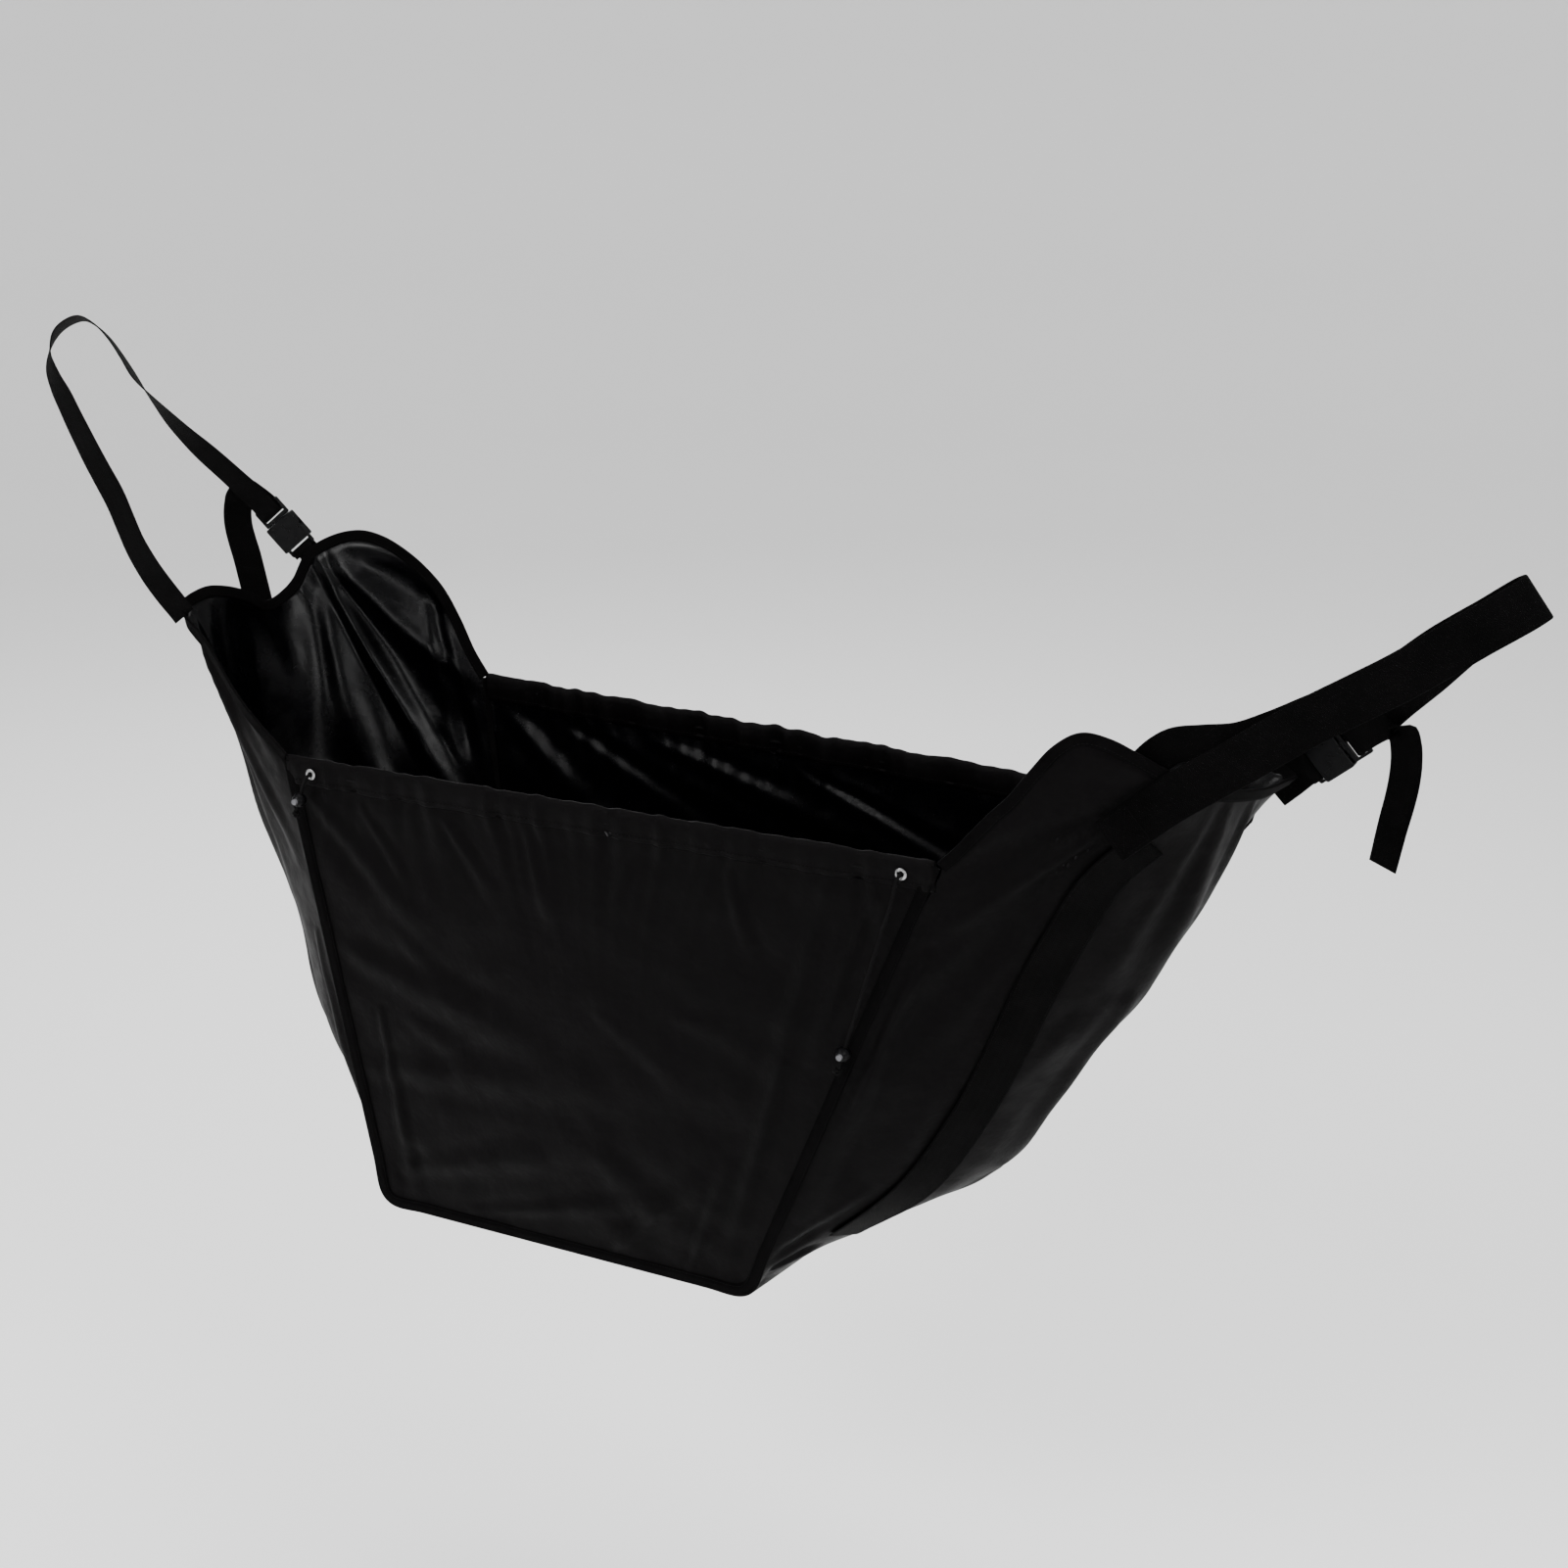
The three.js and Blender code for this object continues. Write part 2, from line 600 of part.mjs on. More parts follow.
const MOUTH = BUCKLE_BAR / 2 + WEBBING_SLOT + SOCKET_LENGTH; // from the bar's middle to the mouth
const PLUG_START = MOUTH + FIT;
const ADJUSTER_SLOT = PLUG_START + PLUG_ROOT; // where the adjuster's slot starts
const ADJUSTER_BARS = ADJUSTER_SLOT + WEBBING_SLOT;
const PLUG_END = ADJUSTER_BARS + 2 * BUCKLE_BAR + WEBBING_SLOT;
const BAR_CLEAR = BUCKLE_BAR / 2 + WEBBING_THICKNESS / 2 + LAP_GAP; // webbing's middle from a bar's middle
const TURN_AT = ADJUSTER_SLOT + WEBBING_SLOT / 2; // where the strap turns through the adjuster

/** Marks of a strap where it threads the adjuster: in under its bars, up through its slot, out over them. */
function adjusterMarks(end) {
  const frame = buckleFrame(end);
  const across = BUCKLES[end].across;
  const route = [
    [PLUG_END + 12, -BAR_CLEAR], [PLUG_END - 2, -BAR_CLEAR], [ADJUSTER_BARS + 2, -BAR_CLEAR],
    [TURN_AT + 0.6, -BAR_CLEAR + 1.2], [TURN_AT, 0], [TURN_AT + 0.6, BAR_CLEAR - 1.2],
    [ADJUSTER_BARS + 2, BAR_CLEAR], [PLUG_END - 2, BAR_CLEAR],
  ];
  return route.map(([along, through]) => {
    const point = at(along, 0, through).applyMatrix4(frame);
    return [[point.x, point.y, point.z], across];
  });
}

// The narrow straps: from the front corner, round the loop, through the adjuster and out as a loose tail.
const LEFT_LEG = [
  [[-592, -135, 108], [0.93, 0, 0.36]], [[-604, -134.5, 140], [0.93, 0, 0.36]],
  [[-632, -129, 172], [0.8, 0, 0.55]], [[-690, -107, 222], [0.75, 0, 0.6]],
  [[-732, -90, 277], [0.8, 0, 0.6]], [[-787, -70, 334], [0.8, -0.05, 0.6]],
  [[-838, -48, 386], [0.8, -0.15, 0.6]], [[-876, -30, 430], [0.7, -0.4, 0.55]],
  [[-872, -14, 468], [0.6, -0.7, 0.4]], [[-842, 2, 486], [0.55, -0.8, 0.3]],
  [[-815, 16, 462], [0.55, -0.8, 0.2]], [[-792, 33, 412], [0.5, -0.85, 0.15]],
  [[-758, 55, 354], [0.65, -0.5, 0.55]], [[-722, 76, 309], [0.75, -0.15, 0.6]],
];
const LEFT_TAIL = [
  [[-683, 104, 254], [0.7, 0.1, 0.6]], [[-700, 108, 236], [0.7, 0.3, -0.2]],
  [[-704, 110, 205], [0.8, 0.4, 0]], [[-696, 112, 165], [0.8, 0.5, 0]],
  [[-688, 114, 120], [0.8, 0.5, 0]],
];
const RIGHT_LEG = [
  [596, -112, 60], [616, -112, 95], [637, -111, 126], [662, -109, 146], [722, -98, 156], [790, -76, 188],
  [868, -48, 229], [920, -28, 264], [952, -12, 286], [961, 0, 292], [950, 12, 282], [918, 28, 248],
  [884, 52, 206], [850, 80, 166],
].map((point) => [point, LOOP_ACROSS]);
const RIGHT_TAIL = [
  [[828, 97, 133], [-0.7, 0, 0.7]], [[845, 93, 138], [-0.75, 0.3, 0.4]], [[857, 92, 118], [-0.9, 0.3, 0]],
  [[859, 95, 75], [-0.9, 0.35, 0]], [[852, 98, 25], [-0.85, 0.4, 0.1]], [[844, 99, -28], [-0.8, 0.45, 0.1]],
];

/** A narrow strap's marks from its sewn end to its tail. */
function strapMarks(end) {
  const inLoop = (rows) => movedOut(rows, -EXTRA_OFF); // the right strap runs inside the handle loop
  const [leg, tail] = end === 'left' ? [LEFT_LEG, LEFT_TAIL] : [RIGHT_LEG, RIGHT_TAIL].map(inLoop);
  return [...marksOnEnd(leg), ...marksFrom(adjusterMarks(end)), ...marksOnEnd(tail)];
}

// Where each buckle's tab is sewn to the cloth, lower end first.
const TAB_LENGTH = 30;
const TAB_RETURN = 7;
const TAB_LAPS = {
  left: [[[-575, 130, 128], [0.9, 0, 0.4]], [[-586, 129.5, 150], [0.85, 0, 0.5]]],
  right: [[[712, 137, 26], [-0.67, 0, 0.74]], [[728, 134, 42], [-0.67, 0, 0.74]]],
};
const HANG_POINT = withRims([-842, 2, 483]);

/** The short tab that ties a buckle's socket to the cloth: sewn flat, round the bar and back. */
function addTab(end, lap) {
  const frame = buckleFrame(end);
  const across = BUCKLES[end].across;
  const turn = BUCKLE_BAR / 2 + WEBBING_SLOT / 2;
  const outwards = at(0, 0, 1).transformDirection(frame).y > 0 ? 1 : -1;
  const loop = [
    [-TAB_LENGTH / 3, BAR_CLEAR + LAP_GAP], [0, BAR_CLEAR], [turn - 1, BAR_CLEAR - 0.6], [turn, 0],
    [turn - 1, -BAR_CLEAR + 0.6], [0, -BAR_CLEAR], [-TAB_RETURN, -BAR_CLEAR],
  ].map(([along, through]) => {
    const point = at(along, 0, outwards * through).applyMatrix4(frame);
    return [[point.x, point.y, point.z], across];
  });
  const stations = smoothStations([...marksOnEnd(movedOut(lap, EXTRA_OFF)), ...marksFrom(loop)], 3);
  add(trough, `${end}_buckle_tab`, ribbonSolid(stations, NARROW_WEBBING, WEBBING_THICKNESS), 'webbing');
}

// ---- Side-release buckles ----

/** A flat plate with rounded corners, along X from one value to another, centred across and through. */
function plate(from, to, width, thickness, corner = 2.5) {
  const outline = new THREE.Shape();
  const half = width / 2;
  outline.moveTo(from + corner, -half);
  outline.lineTo(to - corner, -half);
  outline.absarc(to - corner, -half + corner, corner, -Math.PI / 2, 0, false);
  outline.lineTo(to, half - corner);
  outline.absarc(to - corner, half - corner, corner, 0, Math.PI / 2, false);
  outline.lineTo(from + corner, half);
  outline.absarc(from + corner, half - corner, corner, Math.PI / 2, Math.PI, false);
  outline.lineTo(from, -half + corner);
  outline.absarc(from + corner, -half + corner, corner, Math.PI, 1.5 * Math.PI, false);
  const bevel = 0.8;
  const shape = new THREE.ExtrudeGeometry(outline, {
    depth: thickness - 2 * bevel, curveSegments: 3, bevelThickness: bevel, bevelSize: bevel,
    bevelOffset: -bevel, bevelSegments: 1,
  });
  return shape.translate(0, 0, -thickness / 2 + bevel);
}

const CAVITY_WIDTH = BUCKLE_WIDTH - 2 * SOCKET_WALL;
const CAVITY_HEIGHT = BUCKLE_THICKNESS - 2 * SOCKET_WALL;
const CAVITY_FLOOR = MOUTH - GUIDE_LENGTH - 4; // how far the cavity reaches towards the bar
const WINDOW = { from: MOUTH - 22, to: MOUTH - 9 }; // side windows that the latches snap into
const ADJUSTER_WIDTH = NARROW_WEBBING + 8;

/** The female half: a shell with a mouth, two side windows and a bar for its tab. */
function socketGeometry() {
  const bodyStart = BUCKLE_BAR / 2 + WEBBING_SLOT;
  const body = plate(bodyStart, MOUTH, BUCKLE_WIDTH, BUCKLE_THICKNESS);
  const barLoop = plate(-BUCKLE_BAR / 2, bodyStart + 6, NARROW_WEBBING + 8, BUCKLE_BAR);
  const slot = box(WEBBING_SLOT, NARROW_WEBBING + 1.6, BUCKLE_THICKNESS, bodyStart - WEBBING_SLOT / 2);
  const depth = MOUTH - CAVITY_FLOOR;
  const cavity = box(depth + 2, CAVITY_WIDTH, CAVITY_HEIGHT, CAVITY_FLOOR + depth / 2 + 1);
  const windowLength = WINDOW.to - WINDOW.from;
  const windows = box(windowLength, BUCKLE_WIDTH + 4, CAVITY_HEIGHT, (WINDOW.from + WINDOW.to) / 2);
  return cut(join(body, barLoop), slot, cavity, windows);
}

/** The male half: an adjuster with two bars and a slot, and a guide that enters the socket. */
function plugGeometry() {
  const base = plate(PLUG_START, PLUG_END, ADJUSTER_WIDTH, BUCKLE_BAR, 2);
  const guide = plate(PLUG_START - GUIDE_LENGTH, PLUG_START + 3, GUIDE_WIDTH, CAVITY_HEIGHT - 2 * FIT, 1.5);
  const slotWidth = NARROW_WEBBING + 1.6;
  const firstSlot = box(WEBBING_SLOT, slotWidth, 20, ADJUSTER_SLOT + WEBBING_SLOT / 2);
  const secondAt = ADJUSTER_BARS + BUCKLE_BAR + WEBBING_SLOT / 2;
  const secondSlot = box(WEBBING_SLOT, slotWidth, 20, secondAt);
  return cut(join(base, guide), firstSlot, secondSlot);
}

/** One springy latch arm with its barb, on the +Y or -Y side. */
function latchArm(sign) {
  const outline = new THREE.Shape();
  const inner = GUIDE_WIDTH / 2 + 4;
  const outer = inner + LATCH_ARM;
  const root = PLUG_START - FIT - 0.2;
  const barb = BUCKLE_WIDTH / 2 - 0.6;
  const places = [
    [root, inner], [root, outer], [WINDOW.to - FIT - 0.5, outer + 1], [WINDOW.to - FIT - 0.5, barb],
    [WINDOW.from + 5, barb], [WINDOW.from + FIT, CAVITY_WIDTH / 2 - FIT], [WINDOW.from - 2, outer + 2],
    [WINDOW.from - 2, outer - 1], [WINDOW.from + 6, inner + 2],
  ];
  places.forEach(([x, y], i) => (i ? outline.lineTo(x, sign * y) : outline.moveTo(x, sign * y)));
  const thickness = CAVITY_HEIGHT - 2 * FIT;
  const arm = new THREE.ExtrudeGeometry(outline, { depth: thickness, bevelEnabled: false });
  return arm.translate(0, 0, -thickness / 2);
}

/** A whole buckle in its frame. */
function addBuckle(end) {
  const group = new THREE.Group();
  buckleFrame(end).decompose(group.position, group.quaternion, group.scale);
  trough.add(group);
  add(group, `${end}_buckle_socket`, socketGeometry(), 'plastic');
  add(group, `${end}_buckle_plug`, plugGeometry(), 'plastic');
  add(group, `${end}_buckle_upper_latch`, latchArm(1), 'plastic');
  add(group, `${end}_buckle_lower_latch`, latchArm(-1), 'plastic');
}

// ---- Drawcords ----

// Each free end as [sideways, out from the hem's middle, up] from its eyelet. The last stretch is straight.
const CORD_ENDS = {
  front_left: [
    [0, 1.6, 0], [0, 6, 0], [-0.4, 10.5, -1.5], [-1.6, 13.4, -5.5], [-3.8, 15, -11.5],
    [-7.4, 15.4, -22], [-15.5, 16.2, -45.2],
  ],
  front_right: [
    [0, 1.6, 0], [0, 6, 0], [-0.2, 10.5, -1.5], [-1.4, 13.2, -6], [-3, 13.6, -13],
    [-5.4, 13, -25], [-22.8, 9.8, -82.3], [-40.2, 6.5, -139.7], [-57.5, 3.3, -197], [-72.6, 0.5, -246.7],
  ],
  back_left: [
    [0, 1.6, 0], [0, 6, 0], [0.2, 10.5, -1.5], [0.6, 13.4, -6], [0.8, 14.4, -13], [1, 14.6, -25],
    [1, 14.6, -55], [1, 14.6, -92],
  ],
  back_right: [
    [0, 1.6, 0], [0, 6, 0], [-0.2, 10.5, -1.5], [-0.6, 13.4, -6], [-0.8, 14.4, -13], [-1, 14.6, -25],
    [-1, 14.6, -70], [-1, 14.6, -115], [-1, 14.6, -162],
  ],
};
const CORD_END_STEPS = { front_left: 14, front_right: 34, back_left: 18, back_right: 24 };

/** A free cord end's route in the trough's frame. */
function cordEndRoute(face, side) {
  const { x, z } = eyeletPlace(face, side);
  const name = `${faceName(face)}_${sideName(side)}`;
  return CORD_ENDS[name].map(([sideways, out, up]) => (
    at(x + sideways, face * (RIM_WIDTH / 2 + out), z + up)
  ));
}

/** The drawcord inside one hem, from eyelet to eyelet. */
function addDrawcord(face) {
  const [left, right] = [-1, 1].map((side) => {
    const { x, z } = eyeletPlace(face, side);
    return at(x - side * EYELET_RIM / 2, hemCentreY(face), z);
  });
  const route = spaced(0, 1, 8).map((share) => left.clone().lerp(right, share));
  add(trough, `${faceName(face)}_drawcord`, cordSolid(route, CORD, 16), 'cord');
}

/** The lock's ball, with its through hole for the cord (along Z) and its blind bore (open towards -Y). */
function lockBall() {
  const hole = CORD + 2 * CORD_CLEARANCE;
  const bottom = LOCK_PLUNGER_END + PLUNGER_TRAVEL + 1;
  const ball = new THREE.SphereGeometry(LOCK_BALL / 2, 14, 9);
  const cordHole = rodAlongY(hole, -LOCK_BALL, LOCK_BALL, 10).rotateX(Math.PI / 2);
  return cut(ball, cordHole, rodAlongY(LOCK_BORE, -LOCK_BALL, bottom));
}
const LOCK_PLUNGER_END = CORD / 2 + CORD_CLEARANCE + PLUNGER_END_WALL;

/** The sprung plunger: a round pin with a slot that lets it travel across the cord. */
function plungerGeometry() {
  const hole = CORD + 2 * CORD_CLEARANCE;
  const head = -LOCK_BALL / 2 - PLUNGER_TRAVEL;
  const pin = rodAlongY(PLUNGER, head, LOCK_PLUNGER_END);
  const slot = box(hole, hole + PLUNGER_TRAVEL, LOCK_BALL, 0, -PLUNGER_TRAVEL / 2);
  return cut(pin, slot);
}

/** The coil spring behind the plunger. */
function springGeometry() {
  const radius = PLUNGER / 2 - SPRING_WIRE;
  const from = LOCK_PLUNGER_END + SPRING_WIRE / 2 + 0.2;
  const length = PLUNGER_TRAVEL + 1 - SPRING_WIRE - 0.4;
  const route = spaced(0, 1, SPRING_TURNS * 8).map((share) => {
    const angle = share * SPRING_TURNS * 2 * Math.PI;
    return at(radius * Math.cos(angle), from + share * length, radius * Math.sin(angle));
  });
  return cordSolid(route, SPRING_WIRE, SPRING_TURNS * 8, 4);
}

/** A free cord end with its lock and its knot. */
function addCordEnd(face, side) {
  const name = `${faceName(face)}_${sideName(side)}`;
  const route = cordEndRoute(face, side);
  add(trough, `${name}_cord_end`, cordSolid(route, CORD, CORD_END_STEPS[name]), 'cord');
  const end = route[route.length - 1];
  const down = end.clone().sub(route[route.length - 2]).normalize();
  const knotCentre = end.clone().addScaledVector(down, KNOT / 2 + 0.3);
  const knot = add(trough, `${name}_knot`, new THREE.SphereGeometry(KNOT / 2, 10, 8), 'cord');
  knot.position.copy(knotCentre);

  const lock = new THREE.Group();
  const z = down.clone().negate();
  const outward = at(0, -face, 0);
  const y = outward.addScaledVector(z, -outward.dot(z)).normalize();
  lock.quaternion.setFromRotationMatrix(new THREE.Matrix4().makeBasis(y.clone().cross(z), y, z));
  lock.position.copy(knotCentre).addScaledVector(z, LOCK_ABOVE_KNOT[name]);
  trough.add(lock);
  add(lock, `${name}_lock_ball`, lockBall(), 'plastic');
  add(lock, `${name}_lock_plunger`, plungerGeometry(), 'button');
  add(lock, `${name}_lock_spring`, springGeometry(), 'steel');
}

// ---- The whole trough ----

for (const side of [-1, 1]) {
  addEndPanel(side);
  addLipBinding(side);
}
for (const face of [-1, 1]) {
  addFacePanel(face);
  addHem(face);
  addSeamBinding(face);
  addDrawcord(face);
  addSlingBand(face);
  for (const side of [-1, 1]) {
    addEyelet(face, side);
    addCordEnd(face, side);
  }
}
addFloorPanel();

const handle = smoothStations(marksOnEnd(HANDLE_ROUTE), 2);
add(trough, 'right_handle_loop', ribbonSolid(handle, WIDE_WEBBING, WEBBING_THICKNESS), 'webbing');
for (const end of ['left', 'right']) {
  const strap = smoothStations(strapMarks(end), 2);
  add(trough, `${end}_strap`, ribbonSolid(strap, NARROW_WEBBING, WEBBING_THICKNESS), 'webbing');
  addTab(end, TAB_LAPS[end]);
  addBuckle(end);
}

// The inside of the left loop's apex goes to the origin.
trough.position.set(...HANG_POINT).negate();

export default trough;
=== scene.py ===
"""A hanging fabric trough: coated cloth, tape, webbing, drawcords and moulded fittings on its CAD frame."""
import logging
import math
from collections.abc import Callable, Sequence
from dataclasses import dataclass, field
from enum import Enum

import bmesh
import bpy
import numpy as np
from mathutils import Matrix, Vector
from mathutils.kdtree import KDTree

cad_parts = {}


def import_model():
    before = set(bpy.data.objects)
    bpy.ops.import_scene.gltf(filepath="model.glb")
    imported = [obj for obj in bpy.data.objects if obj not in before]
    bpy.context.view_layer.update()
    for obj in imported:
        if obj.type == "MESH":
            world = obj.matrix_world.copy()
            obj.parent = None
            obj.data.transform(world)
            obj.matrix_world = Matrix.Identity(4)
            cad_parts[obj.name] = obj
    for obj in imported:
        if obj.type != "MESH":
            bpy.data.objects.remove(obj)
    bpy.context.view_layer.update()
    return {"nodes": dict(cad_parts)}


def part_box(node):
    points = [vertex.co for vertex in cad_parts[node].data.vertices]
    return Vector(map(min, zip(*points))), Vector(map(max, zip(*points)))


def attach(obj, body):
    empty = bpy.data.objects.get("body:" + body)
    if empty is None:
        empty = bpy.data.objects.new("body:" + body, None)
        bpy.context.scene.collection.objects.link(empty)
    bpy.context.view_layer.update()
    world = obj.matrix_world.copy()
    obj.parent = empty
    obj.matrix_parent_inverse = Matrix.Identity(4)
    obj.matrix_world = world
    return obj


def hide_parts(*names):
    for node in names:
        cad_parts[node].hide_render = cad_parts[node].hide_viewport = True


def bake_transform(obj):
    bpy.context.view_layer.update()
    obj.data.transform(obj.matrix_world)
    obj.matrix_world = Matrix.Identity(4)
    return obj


LOG = logging.getLogger("trough")
BODY = "trough"
Triple = tuple[float, float, float]
Pair = tuple[float, float]

# Millimetres about the middle of the front rim.
HANG_POINT = np.array([-842.0, 2.0, 483.0])
RIM_WIDTH = 330.0
HEM_HEIGHT = 33.0
HEM_BOTTOM = 36.0  # below the rim
HEM_OUTSIDE = 4.0  # from the hem's middle to its outer wall
RIM_END = 0.03  # the share of a rim over which its gathers fade out
RIMS = {  # each face's left and right rim corners
    "front": ((-430.0, -165.0, 0.0), (430.0, -165.0, 0.0)),
    "back": ((-354.0, 165.0, 28.0), (480.0, 165.0, -5.0)),
}
FLOORS = {  # each face's left and right floor corners
    "front": ((-349.0, -130.0, -615.0), (183.0, -130.0, -615.0)),
    "back": ((-270.0, 130.0, -615.0), (230.0, 130.0, -615.0)),
}
EYELETS = {"front": (-391.8, 386.4), "back": (-318.8, 443.8)}  # each face's left and right eyelets, in x

# Finishes.
THREAD_RATE, STRAND_RATE = 5200.0, 3000.0  # of the woven and braided waves, in radians a metre
FAINT_GLOSS = 0.06

# Metres.
CORD = 0.004
WIDE_WEBBING, NARROW_WEBBING, WEBBING_THICKNESS = 0.050, 0.038, 0.0018
BOX_LENGTH, BOX_INSET = 0.034, 0.004  # of the stitched boxes on the laps
WELD = 2e-5  # corners of a CAD solid that are nearer than this are one corner


def place(points: Sequence) -> np.ndarray:
    """Millimetres about the middle of the front rim, as metres in the row frame."""
    return (np.asarray(points, float) - HANG_POINT) / 1000


def unit(vectors: np.ndarray) -> np.ndarray:
    """Vectors scaled to a length of one."""
    lengths = np.linalg.norm(vectors, axis=-1, keepdims=True)
    return vectors / np.maximum(lengths, 1e-12)


def smooth_step(values: np.ndarray) -> np.ndarray:
    """A smooth rise from 0 to 1 over values from 0 to 1."""
    held = np.clip(values, 0, 1)
    return held * held * (3 - 2 * held)


def read_along(stops: np.ndarray, run: np.ndarray, values: np.ndarray) -> np.ndarray:
    """Rows of values at some stops along a line, from the values at each distance along it."""
    return np.column_stack([np.interp(stops, run, values[:, k]) for k in range(values.shape[1])])


def lengths_along(points: np.ndarray) -> np.ndarray:
    """The distance from a line's start to each of its points."""
    return np.concatenate([[0], np.cumsum(np.linalg.norm(np.diff(points, axis=0), axis=1))])


def nearest_on(line: np.ndarray, places: np.ndarray) -> tuple[np.ndarray, np.ndarray]:
    """The point of a line that is nearest to each place, and how far away it is."""
    tree = KDTree(len(line))
    for number, point in enumerate(line):
        tree.insert(point, number)
    tree.balance()
    found = [tree.find(p) for p in places]
    return np.array([hit[0][:] for hit in found]), np.array([hit[2] for hit in found])


def face_sign(face: str) -> int:
    """-1 for the front face and 1 for the back one."""
    return -1 if face == "front" else 1


def along_rim(face: str, x: np.ndarray) -> tuple[np.ndarray, np.ndarray]:
    """How far along a face's rim each x is, from 0 to 1, and the rim's height there."""
    left, right = RIMS[face]
    share = (x - left[0]) / (right[0] - left[0])
    return share, left[2] + (right[2] - left[2]) * share


def rim_ends(share: np.ndarray) -> np.ndarray:
    """1 along a rim, down to 0 at both its ends."""
    return smooth_step(np.minimum(share, 1 - share) / RIM_END)


class Slot(Enum):
    """The material slots' names."""

    CLOTH = "coated_cloth"
    TAPE = "binding_tape"
    WEBBING = "webbing"
    CORD = "braided_cord"
    PLASTIC = "moulded_plastic"
    BUTTON = "grey_plastic"
    STEEL = "bright_steel"


class Weave(Enum):
    """The ribbing that a strip of webbing or tape shows."""

    CROSS_RIB = "cross_rib"
    FINE_TAPE = "fine_tape"


# ---- Finishes ----


@dataclass
class Graph:
    """A material's node tree, with short calls that fill it."""

    name: str
    material: bpy.types.Material = field(init=False)
    tree: bpy.types.NodeTree = field(init=False)
    shader: bpy.types.Node = field(init=False)

    def __post_init__(self) -> None:
        """Makes an empty node material."""
        self.material = bpy.data.materials.new(self.name)
        self.material.use_nodes = True
        self.tree = self.material.node_tree
        self.shader = self.tree.nodes["Principled BSDF"]

    def add(self, kind: str, inputs: dict | None = None, **settings) -> bpy.types.Node:
        """Adds a node.

        Args:
            kind: The node's type, without its ShaderNode prefix.
            inputs: Values or output sockets for its inputs, by name or index.
            settings: Its other settings.

        Returns:
            The new node.
        """
        node = self.tree.nodes.new(f"ShaderNode{kind}")
        for key, value in settings.items():
            setattr(node, key, value)
        for key, value in (inputs or {}).items():
            self.feed(node.inputs[key], value)
        return node

    def feed(self, socket: bpy.types.NodeSocket, value) -> None:
        """Sets a socket's value, or links an output socket to it."""
        if isinstance(value, bpy.types.NodeSocket):
            self.tree.links.new(value, socket)
        else:
            socket.default_value = value

    def math(self, operation: str, first, second=0.0) -> bpy.types.NodeSocket:
        """The result of a math node on two values or sockets."""
        return self.add("Math", {0: first, 1: second}, operation=operation).outputs[0]

    def noise(self, vector, scale: float, detail: float = 3.0) -> bpy.types.NodeSocket:
        """The value of a noise texture."""
        inputs = {"Vector": vector, "Scale": scale, "Detail": detail}
        return self.add("TexNoise", inputs).outputs[0]

    def where(self) -> bpy.types.NodeSocket:
        """The place on the object."""
        return self.add("TexCoord").outputs["Object"]

    def on_strip(self) -> tuple[bpy.types.NodeSocket, bpy.types.NodeSocket]:
        """The places across and along a strip, or round and along a cord, in metres."""
        axes = self.add("SeparateXYZ", {0: self.add("UVMap", uv_map="weave").outputs[0]})
        return axes.outputs[0], axes.outputs[1]

    def wave(self, value, rate: float) -> bpy.types.NodeSocket:
        """The sine of a value times a rate."""
        return self.math("SINE", self.math("MULTIPLY", value, rate))

    def spread(self, value, low: float, high: float) -> bpy.types.NodeSocket:
        """Maps a noise value's middle range to low and high."""
        inputs = {0: value, 1: 0.3, 2: 0.7, 3: low, 4: high}
        return self.add("MapRange", inputs).outputs[0]

    def blend(self, factor, first: Triple, second: Triple) -> bpy.types.NodeSocket:
        """A colour between two colours."""
        node = self.add("Mix", data_type="RGBA")
        self.feed(node.inputs[0], factor)
        node.inputs[6].default_value = (*first, 1)
        node.inputs[7].default_value = (*second, 1)
        return node.outputs[2]

    def tone(self, value, dark: Triple, light: Triple) -> bpy.types.NodeSocket:
        """A colour that goes from dark to light over a noise value's middle range."""
        return self.blend(self.spread(value, 0.0, 1.0), dark, light)

    def bump(self, height, distance: float, strength: float, under=None) -> bpy.types.NodeSocket:
        """A bumped normal, on top of another one if there is one."""
        inputs = {"Height": height, "Distance": distance, "Strength": strength}
        node = self.add("Bump", inputs)
        if under is not None:
            self.feed(node.inputs["Normal"], under)
        return node.outputs[0]

    def dress(self, **values) -> bpy.types.Material:
        """Sets the shader's inputs, with _ in place of a space, and returns the material."""
        for key, value in values.items():
            self.feed(self.shader.inputs[key.replace("_", " ")], value)
        return self.material


def cloth_finish(
    name: str, dark: Triple, light: Triple, roughness: Pair, gloss: float, crumple: float, weave: float,
) -> bpy.types.Material:
    """Plain-woven cloth with fine crumples: matte outside, or glossy where it is coated inside."""
    g = Graph(name)
    where = g.where()
    axes = g.add("SeparateXYZ", {0: where})
    warp = g.wave(g.math("ADD", axes.outputs[0], axes.outputs[1]), THREAD_RATE)
    weft = g.wave(axes.outputs[2], THREAD_RATE)
    rub = g.noise(where, 38.0, 4.0)
    worn = g.math("MULTIPLY", g.noise(where, 5.0, 5.0), rub)
    normal = g.bump(g.noise(where, 46.0, 4.0), 0.004, crumple)
    normal = g.bump(g.noise(where, 210.0, 3.0), 0.0006, crumple, normal)
    normal = g.bump(g.math("MULTIPLY", warp, weft), 0.0002, weave, normal)
    return g.dress(
        Base_Color=g.tone(worn, dark, light), Roughness=g.spread(rub, *roughness), Normal=normal,
        Specular_IOR_Level=gloss,
    )


